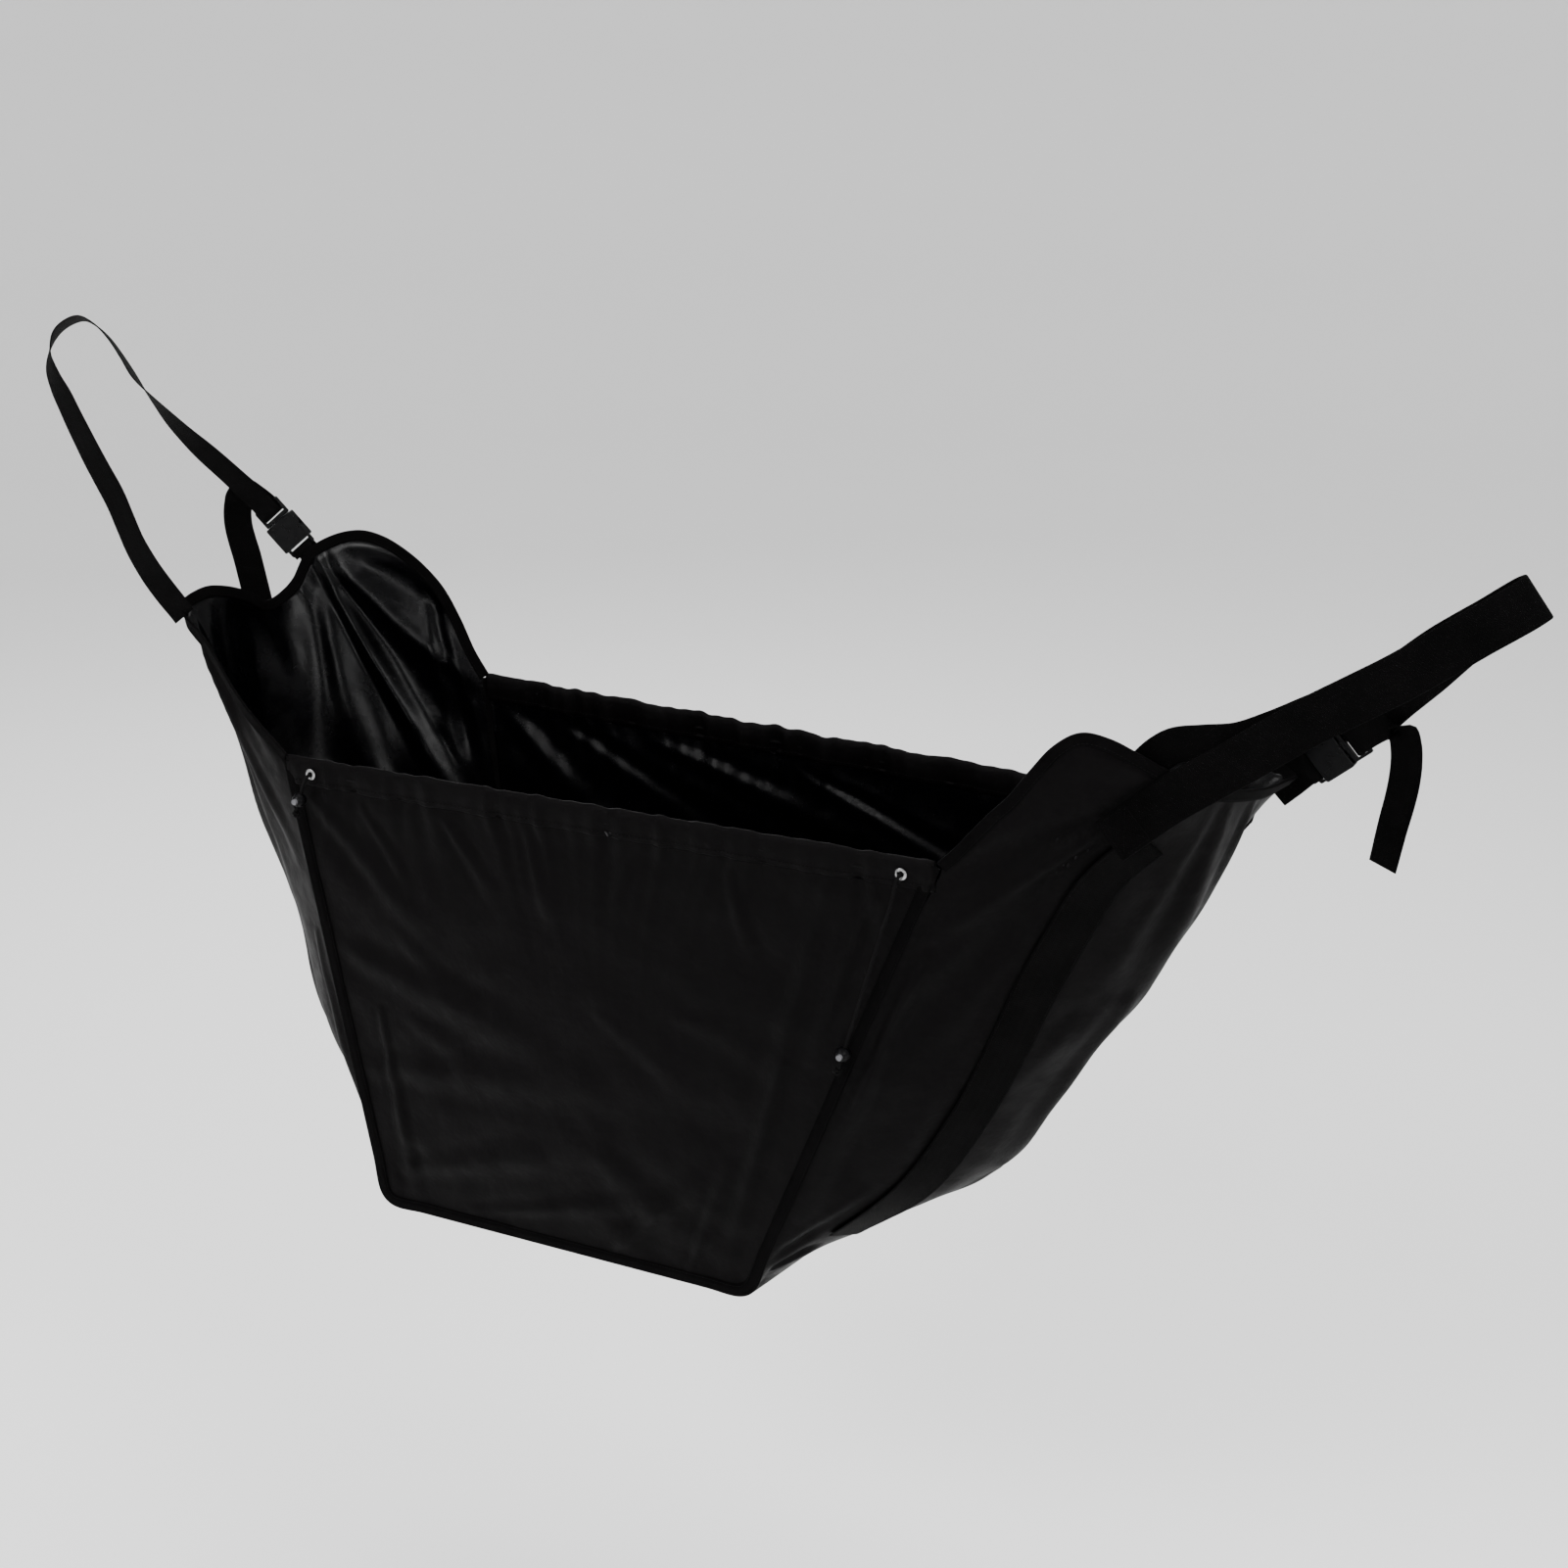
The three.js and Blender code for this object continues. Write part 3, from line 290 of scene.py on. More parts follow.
def strip_finish(
    name: str, weave: Weave, dark: Triple, light: Triple, pitch: float, depth: float, roughness: float,
) -> bpy.types.Material:
    """Ribbed webbing or tape, with its woven columns and its fuzz."""
    g = Graph(name)
    across, along = g.on_strip()
    turn = 2 * math.pi / pitch
    lean = 0.35 if weave is Weave.CROSS_RIB else 0.0
    slant = g.math("MULTIPLY", g.math("PINGPONG", across, pitch * 1.5), lean * 3)
    ribs = g.wave(g.math("ADD", along, slant), turn)
    columns = g.wave(across, turn * 2.2)
    woven = g.math("MULTIPLY", g.math("ADD", g.math("MULTIPLY", ribs, 0.8), columns), 0.5)
    where = g.where()
    fuzz = g.noise(where, 900.0, 2.0)
    # The weave's relief also tints the colour: painted shade in the grooves and painted highlight on the
    # ribs, over a random tone.
    tone = g.math("ADD", g.math("MULTIPLY", woven, 0.3), g.noise(where, 22.0, 4.0))
    return g.dress(
        Base_Color=g.tone(tone, dark, light),
        Roughness=g.spread(fuzz, roughness - 0.08, roughness + 0.1),
        Normal=g.bump(fuzz, 0.0004, 0.5, g.bump(woven, depth, 0.9)),
        Specular_IOR_Level=0.028,
    )


def cord_finish(name: str, dark: Triple, light: Triple) -> bpy.types.Material:
    """Braided cord, with two crossing sets of strands."""
    g = Graph(name)
    round_it, along = (g.math("MULTIPLY", way, STRAND_RATE) for way in g.on_strip())
    one = g.math("SINE", g.math("ADD", round_it, along))
    other = g.math("SINE", g.math("SUBTRACT", round_it, along))
    braid = g.math("MAXIMUM", one, other)
    fuzz = g.noise(g.where(), 1500.0, 2.0)
    # The braid's relief also sets the colour: painted shade between the strands and painted highlight on
    # their crowns.
    return g.dress(
        Base_Color=g.tone(braid, dark, light),
        Roughness=g.spread(fuzz, 0.6, 0.85),
        Normal=g.bump(fuzz, 0.0003, 0.5, g.bump(braid, 0.0004, 0.8)),
        Specular_IOR_Level=FAINT_GLOSS,
    )


def plastic_finish(name: str, dark: Triple, light: Triple, roughness: Pair) -> bpy.types.Material:
    """Moulded plastic with a fine spark-eroded grain and a little handling wear."""
    g = Graph(name)
    where = g.where()
    handling = g.noise(where, 90.0, 4.0)
    return g.dress(
        Base_Color=g.tone(handling, dark, light),
        Roughness=g.spread(handling, *roughness),
        Normal=g.bump(g.noise(where, 2600.0, 2.0), 0.0002, 0.35),
        Specular_IOR_Level=FAINT_GLOSS,
    )


def metal_finish(name: str, dull: Triple, bright: Triple) -> bpy.types.Material:
    """Plated metal with fine rub marks and duller patches."""
    g = Graph(name)
    where = g.where()
    patches = g.noise(where, 240.0, 4.0)
    return g.dress(
        Base_Color=g.tone(patches, dull, bright),
        Metallic=1.0,
        Roughness=g.spread(patches, 0.14, 0.34),
        Normal=g.bump(g.noise(where, 1800.0, 3.0), 0.0001, 0.3),
    )


def thread_finish(name: str, tone: Triple) -> bpy.types.Material:
    """Sewing thread, whose twist shows as fine bands: bumps, with painted shade in their hollows."""
    g = Graph(name)
    twist = g.noise(g.where(), 2400.0, 2.0)
    # The colour follows the twist's bump: painted shade where it sinks.
    return g.dress(
        Base_Color=g.tone(twist, tuple(part * 0.6 for part in tone), tone),
        Roughness=g.spread(twist, 0.5, 0.7),
        Normal=g.bump(twist, 0.0002, 0.5),
        Specular_IOR_Level=FAINT_GLOSS,
    )


def backdrop_finish(name: str, tone: Triple) -> bpy.types.Material:
    """Pale seamless studio paper with a faint mottling."""
    g = Graph(name)
    mottle = g.noise(g.where(), 3.0, 4.0)
    return g.dress(
        Base_Color=g.blend(mottle, tuple(part * 0.985 for part in tone), tone),
        Roughness=0.9,
        Specular_IOR_Level=0.1,
    )


@dataclass(frozen=True)
class Finishes:
    """Every finish of the trough."""

    outside: bpy.types.Material
    inside: bpy.types.Material
    webbing: bpy.types.Material
    tape: bpy.types.Material
    cord: bpy.types.Material
    plastic: bpy.types.Material
    button: bpy.types.Material
    steel: bpy.types.Material
    thread: bpy.types.Material
    paper: bpy.types.Material

    @classmethod
    def made(cls) -> "Finishes":
        """Makes the materials."""
        return cls(
            outside=cloth_finish(
                "cloth_outside", (0.0007, 0.0005, 0.0006), (0.0016, 0.0012, 0.0014),
                (0.42, 0.55), 0.036, 0.34, 0.35,
            ),
            inside=cloth_finish(
                "cloth_coating", (0.0004, 0.0004, 0.0006), (0.0009, 0.0009, 0.0013),
                (0.2, 0.32), 0.082, 0.12, 0.08,
            ),
            webbing=strip_finish(
                "ribbed_webbing", Weave.CROSS_RIB, (0.0003, 0.0003, 0.0003), (0.0017, 0.0015, 0.0016),
                0.0028, 0.0010, 0.62,
            ),
            tape=strip_finish(
                "binding_tape", Weave.FINE_TAPE, (0.0007, 0.0006, 0.0007), (0.0018, 0.0016, 0.0017),
                0.0012, 0.0003, 0.75,
            ),
            cord=cord_finish("braid", (0.0006, 0.0006, 0.0006), (0.0024, 0.0022, 0.0023)),
            plastic=plastic_finish(
                "black_plastic", (0.0009, 0.0009, 0.0010), (0.0022, 0.0022, 0.0025), (0.24, 0.4),
            ),
            button=plastic_finish("grey_button", (0.07, 0.07, 0.074), (0.13, 0.13, 0.138), (0.3, 0.46)),
            steel=metal_finish("plated_steel", (0.20, 0.20, 0.20), (0.42, 0.42, 0.42)),
            thread=thread_finish("sewing_thread", (0.0012, 0.0010, 0.0011)),
            paper=backdrop_finish("studio_paper", (0.93, 0.93, 0.93)),
        )


# ---- Mesh helpers ----


def in_scene(name: str, data: bpy.types.ID) -> bpy.types.Object:
    """Makes an object of some data, and adds it to the scene."""
    made = bpy.data.objects.new(name, data)
    bpy.context.scene.collection.objects.link(made)
    return made


def new_piece(name: str, points: np.ndarray, faces: Sequence) -> bpy.types.Object:
    """Makes a smooth-shaded mesh object at the origin."""
    mesh = bpy.data.meshes.new(name)
    mesh.from_pydata([tuple(p) for p in points], [], [tuple(f) for f in faces])
    mesh.update()
    mesh.polygons.foreach_set("use_smooth", [True] * len(mesh.polygons))
    return in_scene(name, mesh)


def only(piece: bpy.types.Object) -> None:
    """Makes a piece the only selected object, and the active one."""
    for other in bpy.context.selected_objects:
        other.select_set(False)
    piece.select_set(True)
    bpy.context.view_layer.objects.active = piece


def face_out(piece: bpy.types.Object) -> None:
    """Turns the faces of a closed piece outwards."""
    only(piece)
    bpy.ops.object.mode_set(mode="EDIT")
    bpy.ops.mesh.select_all(action="SELECT")
    bpy.ops.mesh.normals_make_consistent(inside=False)
    bpy.ops.object.mode_set(mode="OBJECT")


def vertices(piece: bpy.types.Object) -> np.ndarray:
    """The places of a piece's vertices."""
    values = np.zeros(len(piece.data.vertices) * 3)
    piece.data.vertices.foreach_get("co", values)
    return values.reshape(-1, 3)


def vertex_normals(piece: bpy.types.Object) -> np.ndarray:
    """The normals of a piece's vertices."""
    return np.array([n.vector[:] for n in piece.data.vertex_normals])


def move_vertices(piece: bpy.types.Object, places: np.ndarray) -> None:
    """Puts a piece's vertices at new places."""
    piece.data.vertices.foreach_set("co", places.ravel())
    piece.data.update()


def settle(
    piece: bpy.types.Object, finish: bpy.types.Material | None, slot: Slot, *nodes: str,
    body: str = BODY, pulled_by: str | None = None,
) -> bpy.types.Object:
    """Dresses a piece, ties it to its body and hides the CAD nodes that it stands for."""
    if finish is not None:
        piece.data.materials.clear()
        piece.data.materials.append(finish)
    if pulled_by is None:
        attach(piece, body)
    else:
        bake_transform(piece)
    if nodes:
        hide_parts(*nodes)
    LOG.info("%s: %d vertices on %s", piece.name, len(piece.data.vertices), body)
    return piece


def spline(marks: np.ndarray, step: float) -> np.ndarray:
    """A smooth line through points, resampled at an even step.

    Args:
        marks: The points, one a row.
        step: The spacing wanted, in the points' unit.

    Returns:
        The resampled points; both ends are kept.
    """
    marks = np.asarray(marks, float)
    padded = np.vstack([2 * marks[0] - marks[1], marks, 2 * marks[-1] - marks[-2]])
    spans = np.linalg.norm(np.diff(padded[:, :3], axis=0), axis=1)
    knots = np.concatenate([[0], np.cumsum(spans ** 0.5)])
    fine = []
    for i in range(1, len(padded) - 2):
        t0, t1, t2, t3 = knots[i - 1:i + 3]
        t = np.linspace(t1, t2, 24, endpoint=False)[:, None]
        a1 = (t1 - t) / (t1 - t0) * padded[i - 1] + (t - t0) / (t1 - t0) * padded[i]
        a2 = (t2 - t) / (t2 - t1) * padded[i] + (t - t1) / (t2 - t1) * padded[i + 1]
        a3 = (t3 - t) / (t3 - t2) * padded[i + 1] + (t - t2) / (t3 - t2) * padded[i + 2]
        b1 = (t2 - t) / (t2 - t0) * a1 + (t - t0) / (t2 - t0) * a2
        b2 = (t3 - t) / (t3 - t1) * a2 + (t - t1) / (t3 - t1) * a3
        fine.append((t2 - t) / (t2 - t1) * b1 + (t - t1) / (t2 - t1) * b2)
    fine = np.vstack([*fine, marks[-1:]])
    run = lengths_along(fine[:, :3])
    stops = np.linspace(0, run[-1], max(int(round(run[-1] / step)), 2) + 1)
    return read_along(stops, run, fine)


def band_faces(count: int, size: int) -> list[tuple[int, ...]]:
    """The faces that join each ring of points to the next one."""
    return [
        (r * size + k, r * size + (k + 1) % size, (r + 1) * size + (k + 1) % size, (r + 1) * size + k)
        for r in range(count - 1) for k in range(size)
    ]


def loft(name: str, rings: np.ndarray, along: np.ndarray, around: np.ndarray) -> bpy.types.Object:
    """A closed solid through rings of points, with a UV map in metres.

    Args:
        name: The piece's name.
        rings: Points as [ring, place in the ring, axis].
        along: Each ring's distance along the piece.
        around: Each place's distance round or across the ring.

    Returns:
        The piece, with its ends capped and its faces outwards.
    """
    count, size = rings.shape[:2]
    points = rings.reshape(-1, 3)
    faces = band_faces(count, size)
    faces.append(tuple(range(size)))
    faces.append(tuple(range((count - 1) * size, count * size)))
    piece = new_piece(name, points, faces)
    layer = piece.data.uv_layers.new(name="weave")
    corners = np.zeros(len(piece.data.loops), int)
    piece.data.loops.foreach_get("vertex_index", corners)
    values = np.column_stack([around[corners % size], along[corners // size]])
    layer.data.foreach_set("uv", values.ravel())
    face_out(piece)
    return piece


# ---- Strips of tape and webbing ----


@dataclass
class Track:
    """The line that a strip follows, with its width direction and its outward direction."""

    points: np.ndarray
    across: np.ndarray

    @classmethod
    def of_node(cls, node: bpy.types.Object, start: Triple, ring: int) -> "Track":
        """Reads a strip's stations from its CAD solid.

        Args:
            node: The CAD node's object.
            start: A place at the strip's first end.
            ring: How many corners each station has.

        Returns:
            The strip's track.
        """
        solid = bmesh.new()
        solid.from_mesh(node.data)
        bmesh.ops.remove_doubles(solid, verts=solid.verts, dist=WELD)
        solid.verts.ensure_lookup_table()
        origin = Vector(place(start))
        nearest = sorted(solid.verts, key=lambda v: (v.co - origin).length)[:ring]
        seen = set(nearest)
        levels = [nearest]
        while levels[-1]:
            reached = {e.other_vert(v) for v in levels[-1] for e in v.link_edges} - seen
            seen |= reached
            levels.append(sorted(reached, key=lambda v: v.index))
        centres, widths = [], []
        for level in levels[:-1]:
            corners = np.array([v.co[:] for v in level])
            middle = corners.mean(0)
            direction = np.linalg.svd(corners - middle)[2][0]
            if widths and direction @ widths[-1] < 0:
                direction = -direction
            centres.append(middle)
            widths.append(direction)
        solid.free()
        return cls(np.array(centres), np.array(widths))

    def facing(self, outward: Callable[[np.ndarray], np.ndarray]) -> "Track":
        """The same track, turned so that its outward direction agrees with the one given."""
        if (self.out * outward(self.points)).sum() < 0:
            return Track(self.points, -self.across)
        return self

    def moved(self, sideways: float, outwards: float) -> "Track":
        """The same track, moved across itself and out of itself."""
        return Track(self.at(sideways, outwards), self.across)

    def reaching(self, first: Triple, last: Triple) -> "Track":
        """The same track, carried on to two end places given in millimetres."""
        points = np.vstack([place(first), self.points, place(last)])
        return Track(points, np.vstack([self.across[:1], self.across, self.across[-1:]]))

    def eased(self, shift: Triple, over: float) -> "Track":
        """The same track with its first end moved, fading out over a length."""
        fade = 1 - smooth_step(lengths_along(self.points) / over)
        return Track(self.points + np.array(shift) * fade[:, None], self.across)

    def trimmed(self, first: float, last: float) -> "Track":
        """The same track without a length at each end."""
        run = lengths_along(self.points)
        kept = (run >= first) & (run <= run[-1] - last)
        return Track(self.points[kept], self.across[kept])

    def longer(self, extra: float) -> "Track":
        """The same track carried straight on past its last end."""
        end = self.points[-1] + unit(self.points[-1] - self.points[-4]) * extra
        return Track(np.vstack([self.points, end]), np.vstack([self.across, self.across[-1]]))

    def resampled(self, step: float) -> "Track":
        """The same track with evenly spaced stations."""
        both = spline(np.hstack([self.points, self.across * 0.02]), step)
        return Track(both[:, :3], unit(both[:, 3:]))

    @property
    def along(self) -> np.ndarray:
        """The direction of travel at each station."""
        return unit(np.gradient(self.points, axis=0))

    @property
    def wide(self) -> np.ndarray:
        """The width direction, square to the direction of travel."""
        along = self.along
        return unit(self.across - (self.across * along).sum(1, keepdims=True) * along)

    @property
    def out(self) -> np.ndarray:
        """The direction through the strip's thickness."""
        return np.cross(self.along, self.wide)

    def at(self, sideways: float | np.ndarray, outwards: float | np.ndarray) -> np.ndarray:
        """Points beside the track, in metres across it and out of it."""
        sideways = np.broadcast_to(np.asarray(sideways, float), len(self.points))[:, None]
        outwards = np.broadcast_to(np.asarray(outwards, float), len(self.points))[:, None]
        return self.points + self.wide * sideways + self.out * outwards


@dataclass
class Strip:
    """A strip of webbing or tape that stands for one CAD strip."""

    node: str
    route: Track
    width: float
    thickness: float
    finish: bpy.types.Material
    slot: Slot
    step: float = 0.004
    ripple: float = 0.0
    curl: float = 0.0
    pulled_by: str | None = None
    track: Track = field(init=False)

    def section(self) -> tuple[np.ndarray, np.ndarray]:
        """The strip's outline: places across it and through it, with rounded selvedges."""
        half, thin = self.width / 2, self.thickness / 2
        across = [-1, -0.97, -0.9, -0.5, 0, 0.5, 0.9, 0.97, 1]
        through = [0, 0.7, 1, 1, 1, 1, 1, 0.7]
        around = np.array(across + across[-2:0:-1])
        return around * half, np.array(through + [-lift for lift in through]) * thin

    def build(self) -> bpy.types.Object:
        """Makes the strip and dresses it."""
        self.track = self.route.resampled(self.step)
        across, through = self.section()
        run = lengths_along(self.track.points)
        wave = np.sin(run * 61) * 0.6 + np.sin(run * 27 + 1.3)
        fade = smooth_step(np.minimum(run, run[-1] - run) / 0.03)
        bent = np.clip(across / (self.width / 2) - 0.1, 0, 1) ** 2
        shift = (wave * fade * self.ripple)[:, None] - self.curl * bent[None, :]
        wide, out = self.track.wide[:, None, :], self.track.out[:, None, :]
        lift = (through[None, :] + shift)[..., None]
        rings = self.track.points[:, None, :] + wide * across[None, :, None] + out * lift
        piece = loft(f"{self.node}_woven", rings, run, across)
        return settle(piece, self.finish, self.slot, self.node, pulled_by=self.pulled_by)


@dataclass
class Stitches:
    """A row of stitches along a line on the cloth."""

    name: str
    finish: bpy.types.Material
    length: float = 0.0034
    gap: float = 0.0016
    thread: float = 0.0007
    lines: list[tuple[np.ndarray, np.ndarray]] = field(default_factory=list)

    def along(self, points: np.ndarray, out: np.ndarray) -> None:
        """Adds a line of points with the surface's outward directions."""
        self.lines.append((points, out))

    def build(self, slot: Slot = Slot.CLOTH) -> bpy.types.Object:
        """Makes every stitch as a short thread that dips into the cloth at both ends."""
        points, faces = [], []
        for line, out in self.lines:
            run = lengths_along(line)
            pitch = self.length + self.gap
            for number in range(int(run[-1] / pitch)):
                stops = number * pitch + self.gap / 2 + np.array([0, 0.25, 0.75, 1]) * self.length
                centre = read_along(stops, run, line)
                up = unit(read_along(stops, run, out))
                ahead = unit(centre[-1:] - centre[:1])
                side = unit(np.cross(ahead, up))
                rise = np.array([-0.35, 0.25, 0.25, -0.35])[:, None] * self.thread
                size = np.array([0.35, 0.5, 0.5, 0.35])[:, None] * self.thread
                first = len(points)
                for turn in range(5):
                    angle = turn * 2 * math.pi / 5
                    ring = centre + up * rise + (up * math.cos(angle) + side * math.sin(angle)) * size
                    points.extend(ring)
                for turn in range(5):
                    here, there = first + turn * 4, first + (turn + 1) % 5 * 4
                    for k in range(3):
                        faces.append((here + k, here + k + 1, there + k + 1, there + k))
                faces.append(tuple(first + turn * 4 for turn in range(5)))
                faces.append(tuple(first + turn * 4 + 3 for turn in range(5)))
        piece = new_piece(self.name, np.array(points), faces)
        face_out(piece)
        return settle(piece, self.finish, slot)


# ---- Cloth ----


@dataclass(frozen=True)
class Fold:
    """A soft fold between two places on the cloth, in millimetres about the front rim's middle."""

    start: Triple
    end: Triple
    width: float
    height: float

    def lift(self, places: np.ndarray, normals: np.ndarray) -> np.ndarray:
        """How far the fold lifts the cloth at each place, in metres.

        Args:
            places: The cloth's points, in metres.
            normals: The cloth's outward normals.

        Returns:
            One lift a point.
        """
        first, last = place(self.start), place(self.end)
        chord = last - first
        length = np.linalg.norm(chord)
        share = np.clip((places - first) @ chord / length ** 2, 0, 1)
        away = places - (first + share[:, None] * chord)
        depth = (away * normals).sum(1)
        beside = np.linalg.norm(away - depth[:, None] * normals, axis=1)
        narrow = self.width / 1000 * (0.55 + 0.6 * share)
        shape = np.exp(-(beside / narrow) ** 2) - 0.35 * np.exp(-((beside / narrow - 1.6) / 0.8) ** 2)
        taper = np.sin(math.pi * np.clip(share * 0.86 + 0.09, 0, 1)) ** 0.7
        near = np.exp(-(np.maximum(np.abs(depth) - 0.06, 0) / 0.03) ** 2)
        return self.height / 1000 * shape * taper * near


@dataclass(frozen=True)
class Rumple:
    """Low uneven waves over a whole panel, from many crossing ripples."""

    seed: int
    height: float
    shortest: float
    longest: float
    lean: Triple

    def lift(self, places: np.ndarray) -> np.ndarray:
        """The waves' height at each place, in metres."""
        rng = np.random.default_rng(self.seed)
        total = np.zeros(len(places))
        bent = places.copy()
        for axis in range(3):
            bent[:, axis] += 0.018 * np.sin(places[:, (axis + 1) % 3] * 17 + rng.uniform(0, 6))
        for _ in range(26):
            direction = unit(rng.normal(size=3) + np.array(self.lean) * rng.uniform(0.5, 2.0))
            length = self.shortest * (self.longest / self.shortest) ** rng.uniform()
            wave = np.sin(2 * math.pi * (bent @ direction) / length + rng.uniform(0, 6.3))
            total += wave * length / self.longest
        return self.height * total / 5


@dataclass
class ClothPanel:
    """One panel of the coated cloth, matte outside and glossy inside."""

    node: str
    outward: Callable[[np.ndarray], np.ndarray]
    folds: list[Fold]
    rumple: Rumple
    finishes: Finishes
    levels: int
    free_edge: float
    puckers: Callable[[np.ndarray], np.ndarray] | None = None
    sewn: tuple[np.ndarray, ...] = ()
    tape_line: np.ndarray | None = None
    piece: bpy.types.Object = field(init=False)

    def build(self, nodes: dict[str, bpy.types.Object]) -> bpy.types.Object:
        """Makes the panel from its CAD solid, refines it, folds it and dresses it."""
        self.piece = in_scene(f"{self.node}_cloth", nodes[self.node].data.copy())
        self.refine()
        inner = self.inner_faces()
        self.stretch()
        self.fold()
        self.dress(inner)
        return self.piece

    def refine(self) -> None:
        """Merges the CAD solid's corners, restores its quads and subdivides it with crisp edges."""
        only(self.piece)
        bpy.ops.object.mode_set(mode="EDIT")
        bpy.ops.mesh.select_all(action="SELECT")
        bpy.ops.mesh.remove_doubles(threshold=WELD)
        bpy.ops.mesh.tris_convert_to_quads(
            face_threshold=math.radians(50), shape_threshold=math.radians(70),
        )
        bpy.ops.object.mode_set(mode="OBJECT")
        solid = bmesh.new()
        solid.from_mesh(self.piece.data)
        creases = solid.edges.layers.float.new("crease_edge")
        for edge in solid.edges:
            if len(edge.link_faces) == 2 and edge.calc_face_angle() > math.radians(55):
                edge[creases] = 1
        solid.to_mesh(self.piece.data)
        solid.free()
        modifier = self.piece.modifiers.new("refine", "SUBSURF")
        modifier.levels = modifier.render_levels = self.levels
        only(self.piece)
        bpy.ops.object.modifier_apply(modifier=modifier.name)

    def edge_distance(self, places: np.ndarray) -> np.ndarray:
        """Each vertex's distance from the panel's nearest edge, in metres."""
        solid = bmesh.new()
        solid.from_mesh(self.piece.data)
        corners = np.array([
            vertex.co[:] for edge in solid.edges for vertex in edge.verts
            if len(edge.link_faces) == 2 and edge.calc_face_angle() > math.radians(50)
        ])
        solid.free()
        return nearest_on(corners, places)[1]

    def beside_bands(self, places: np.ndarray) -> np.ndarray:
        """1 where the cloth is free, down to 0 where a band is sewn along it."""
        free = np.ones(len(places))
        for line in self.sewn:
            away = nearest_on(line, places)[1]
            free *= smooth_step((away - 0.024) / 0.028)
        return free

    def fold(self) -> None:
        """Moves the cloth out and in along its surface's normals, least at its sewn edges."""
        places = vertices(self.piece)
        normals = vertex_normals(self.piece)
        flip = (normals * self.outward(places)).sum(1) < 0
        normals[flip] *= -1
        near = smooth_step(self.edge_distance(places) / self.free_edge)
        lift = self.rumple.lift(places)
        for fold in self.folds:
            lift += fold.lift(places, normals)
        lift *= near * self.beside_bands(places)
        if self.puckers is not None:
            lift += self.puckers(places)
        move_vertices(self.piece, places + normals * lift[:, None])

    def inner_faces(self) -> np.ndarray:
        """Which faces look into the trough, told before the folds turn them."""
        mesh = self.piece.data
        centres, normals = np.zeros((2, len(mesh.polygons) * 3))
        mesh.polygons.foreach_get("center", centres)
        mesh.polygons.foreach_get("normal", normals)
        return (normals.reshape(-1, 3) * self.outward(centres.reshape(-1, 3))).sum(1) < 0

    def stretch(self) -> None:
        """Draws the cloth's top edge up into the tape that covers it."""
        if self.tape_line is None:
            return
        places = vertices(self.piece)
        nearest, away = nearest_on(self.tape_line, places)
        pull = np.minimum(0.0085, away * 0.9) * (1 - smooth_step((away - 0.010) / 0.045))
        move_vertices(self.piece, places + unit(nearest - places) * pull[:, None])

    def dress(self, inner: np.ndarray) -> None:
        """Gives the outer and inner faces their finishes, and ties the panel to its body."""
        mesh = self.piece.data
        mesh.materials.clear()
        mesh.materials.append(self.finishes.outside)
        mesh.materials.append(self.finishes.inside)
        mesh.polygons.foreach_set("material_index", inner.astype(int))
        mesh.polygons.foreach_set("use_smooth", [True] * len(mesh.polygons))
        mesh.update()
        settle(self.piece, None, Slot.CLOTH, self.node)


def away_from_middle(places: np.ndarray) -> np.ndarray:
    """The horizontal direction from the trough's middle line to each place."""
    middle = place([[0, 0, 0]])[0]
    out = places - middle
    out[:, 0] += 0.083 * np.clip(-out[:, 2] / 0.615, 0, 1)
    out[:, 2] = 0
    return unit(out)


def straight_out(x: float, y: float, z: float) -> Callable[[np.ndarray], np.ndarray]:
    """One outward direction for a whole panel."""
    return lambda places: np.broadcast_to(np.array([x, y, z], float), places.shape)


@dataclass
class Gathers:
    """The puckers that the drawcord draws into one rim, as an outward wave along X."""

    seed: int
    height: float
    calm: Pair

    def __call__(self, x: np.ndarray) -> np.ndarray:
        """The outward wave in millimetres at each x, calm round the eyelets."""
        rng = np.random.default_rng(self.seed)
        total = np.zeros_like(x)
        for length in (118, 73, 51, 38, 29, 23):
            slow = 0.5 + 0.5 * np.sin(x / (length * 1.7) + rng.uniform(0, 6.3))
            total += np.sin(2 * math.pi * x / length + rng.uniform(0, 6.3)) * slow * (length / 60) ** 0.4
        for eyelet in self.calm:
            total *= smooth_step((np.abs(x - eyelet) - 8) / 22)
        return self.height * total


